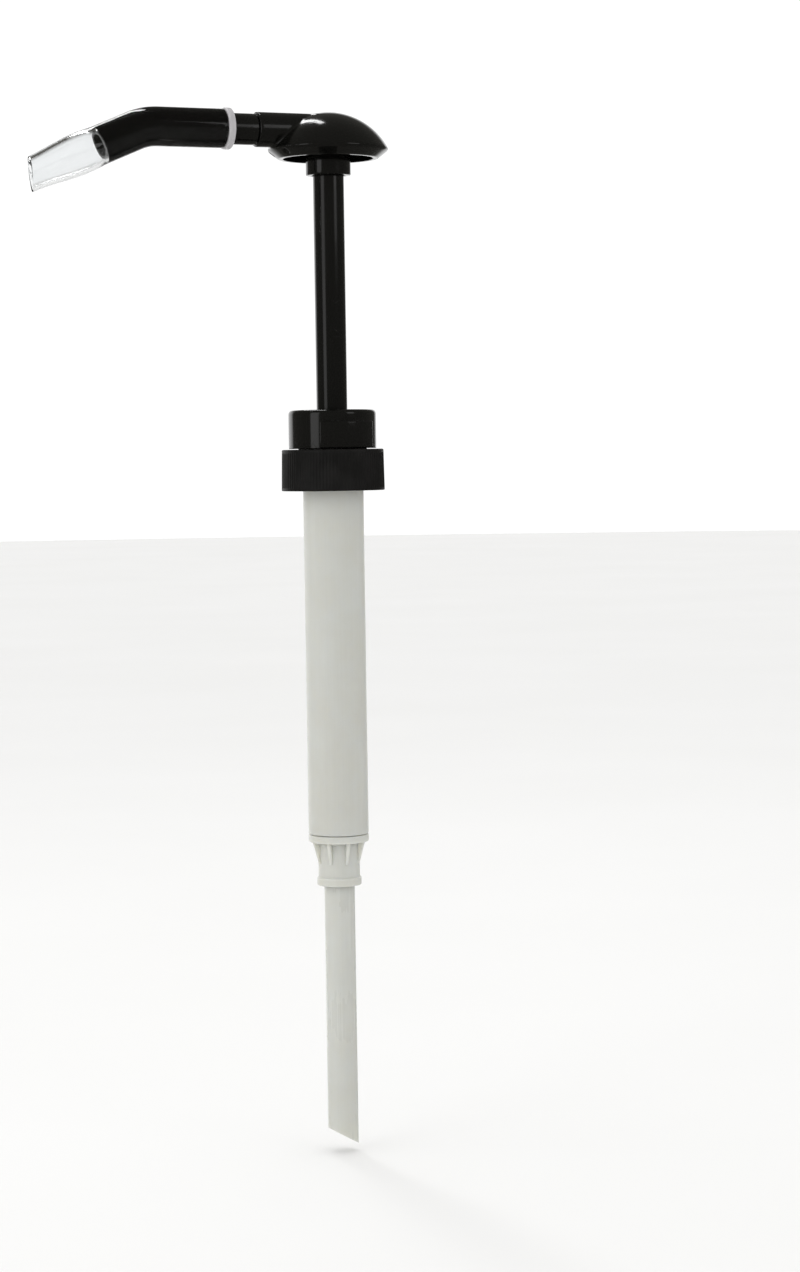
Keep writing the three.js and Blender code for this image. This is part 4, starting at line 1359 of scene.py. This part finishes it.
class OILPUMP_OT_hose(Operator):
    """Build the clear hose and the ring that it butts on"""
    bl_idname = "oil_pump.hose"
    bl_label = "Clear hose and stop ring"

    def execute(self, context):
        make_stop_ring()
        make_hose()
        return {"FINISHED"}


class OILPUMP_OT_stem(Operator):
    """Build the hollow plunger stem and its O-ring"""
    bl_idname = "oil_pump.stem"
    bl_label = "Plunger stem"

    def execute(self, context):
        make_stem()
        make_o_ring()
        return {"FINISHED"}


class OILPUMP_OT_collar(Operator):
    """Build the gland collar with its two lugs"""
    bl_idname = "oil_pump.collar"
    bl_label = "Gland collar"

    def execute(self, context):
        make_collar()
        return {"FINISHED"}


class OILPUMP_OT_closure(Operator):
    """Build the ribbed screw closure"""
    bl_idname = "oil_pump.closure"
    bl_label = "Threaded closure"

    def execute(self, context):
        make_closure()
        return {"FINISHED"}


class OILPUMP_OT_seals(Operator):
    """Build the stem's bush, its wiper and the gasket on the neck"""
    bl_idname = "oil_pump.seals"
    bl_label = "Bush, wiper and gasket"

    def execute(self, context):
        make_bush()
        make_wiper()
        make_gasket()
        return {"FINISHED"}


class OILPUMP_OT_piston(Operator):
    """Build the piston, its nut and its cup seal"""
    bl_idname = "oil_pump.piston"
    bl_label = "Piston"

    def execute(self, context):
        make_piston()
        make_cup_seal()
        return {"FINISHED"}


class OILPUMP_OT_valves(Operator):
    """Build the two valve balls and the cages over them"""
    bl_idname = "oil_pump.valves"
    bl_label = "Valve balls and cages"

    def execute(self, context):
        make_ball("delivery_ball", "outlet_ball", "outlet_valve")
        make_ball("suction_ball", "inlet_ball", "inlet_valve")
        make_cage("delivery_cage", "outlet_ball_cage", "piston")
        make_cage("suction_cage", "inlet_ball_cage", "housing")
        return {"FINISHED"}


class OILPUMP_OT_spring(Operator):
    """Build the return spring and the washer under it"""
    bl_idname = "oil_pump.spring"
    bl_label = "Return spring"

    def execute(self, context):
        make_spring()
        make_washer()
        return {"FINISHED"}


class OILPUMP_OT_barrel(Operator):
    """Build the barrel with its flange and threaded boss"""
    bl_idname = "oil_pump.barrel"
    bl_label = "Barrel"

    def execute(self, context):
        make_barrel()
        return {"FINISHED"}


class OILPUMP_OT_foot(Operator):
    """Build the foot valve and the dip tube"""
    bl_idname = "oil_pump.foot"
    bl_label = "Foot valve and dip tube"

    def execute(self, context):
        make_foot_valve()
        make_dip_tube()
        return {"FINISHED"}


class OILPUMP_OT_stage(Operator):
    """Set out the pale floor, the soft lights and the camera"""
    bl_idname = "oil_pump.stage"
    bl_label = "Studio"

    def execute(self, context):
        make_stage()
        return {"FINISHED"}


BUILDERS = (
    OILPUMP_OT_knob, OILPUMP_OT_nozzle, OILPUMP_OT_hose, OILPUMP_OT_stem, OILPUMP_OT_collar,
    OILPUMP_OT_closure, OILPUMP_OT_seals, OILPUMP_OT_piston, OILPUMP_OT_valves, OILPUMP_OT_spring,
    OILPUMP_OT_barrel, OILPUMP_OT_foot, OILPUMP_OT_stage,
)


class OILPUMP_PT_sidebar(Panel):
    """Lists the builders of the pump's pieces"""
    bl_idname = "OILPUMP_PT_sidebar"
    bl_label = "Oil Pump"
    bl_space_type = "VIEW_3D"
    bl_region_type = "UI"
    bl_category = "Oil Pump"

    def draw(self, context):
        for builder in BUILDERS:
            self.layout.operator(builder.bl_idname)


CLASSES = (PumpSizes, PumpColours, *BUILDERS, OILPUMP_PT_sidebar)


def register():
    for each in CLASSES:
        bpy.utils.register_class(each)
    bpy.types.Scene.oil_pump_sizes = PointerProperty(type=PumpSizes)
    bpy.types.Scene.oil_pump_colours = PointerProperty(type=PumpColours)


def unregister():
    del bpy.types.Scene.oil_pump_colours
    del bpy.types.Scene.oil_pump_sizes
    for each in reversed(CLASSES):
        bpy.utils.unregister_class(each)


def main():
    register()
    for builder in BUILDERS:
        area, name = builder.bl_idname.split(".")
        getattr(getattr(bpy.ops, area), name)()


if __name__ == "__main__":
    main()
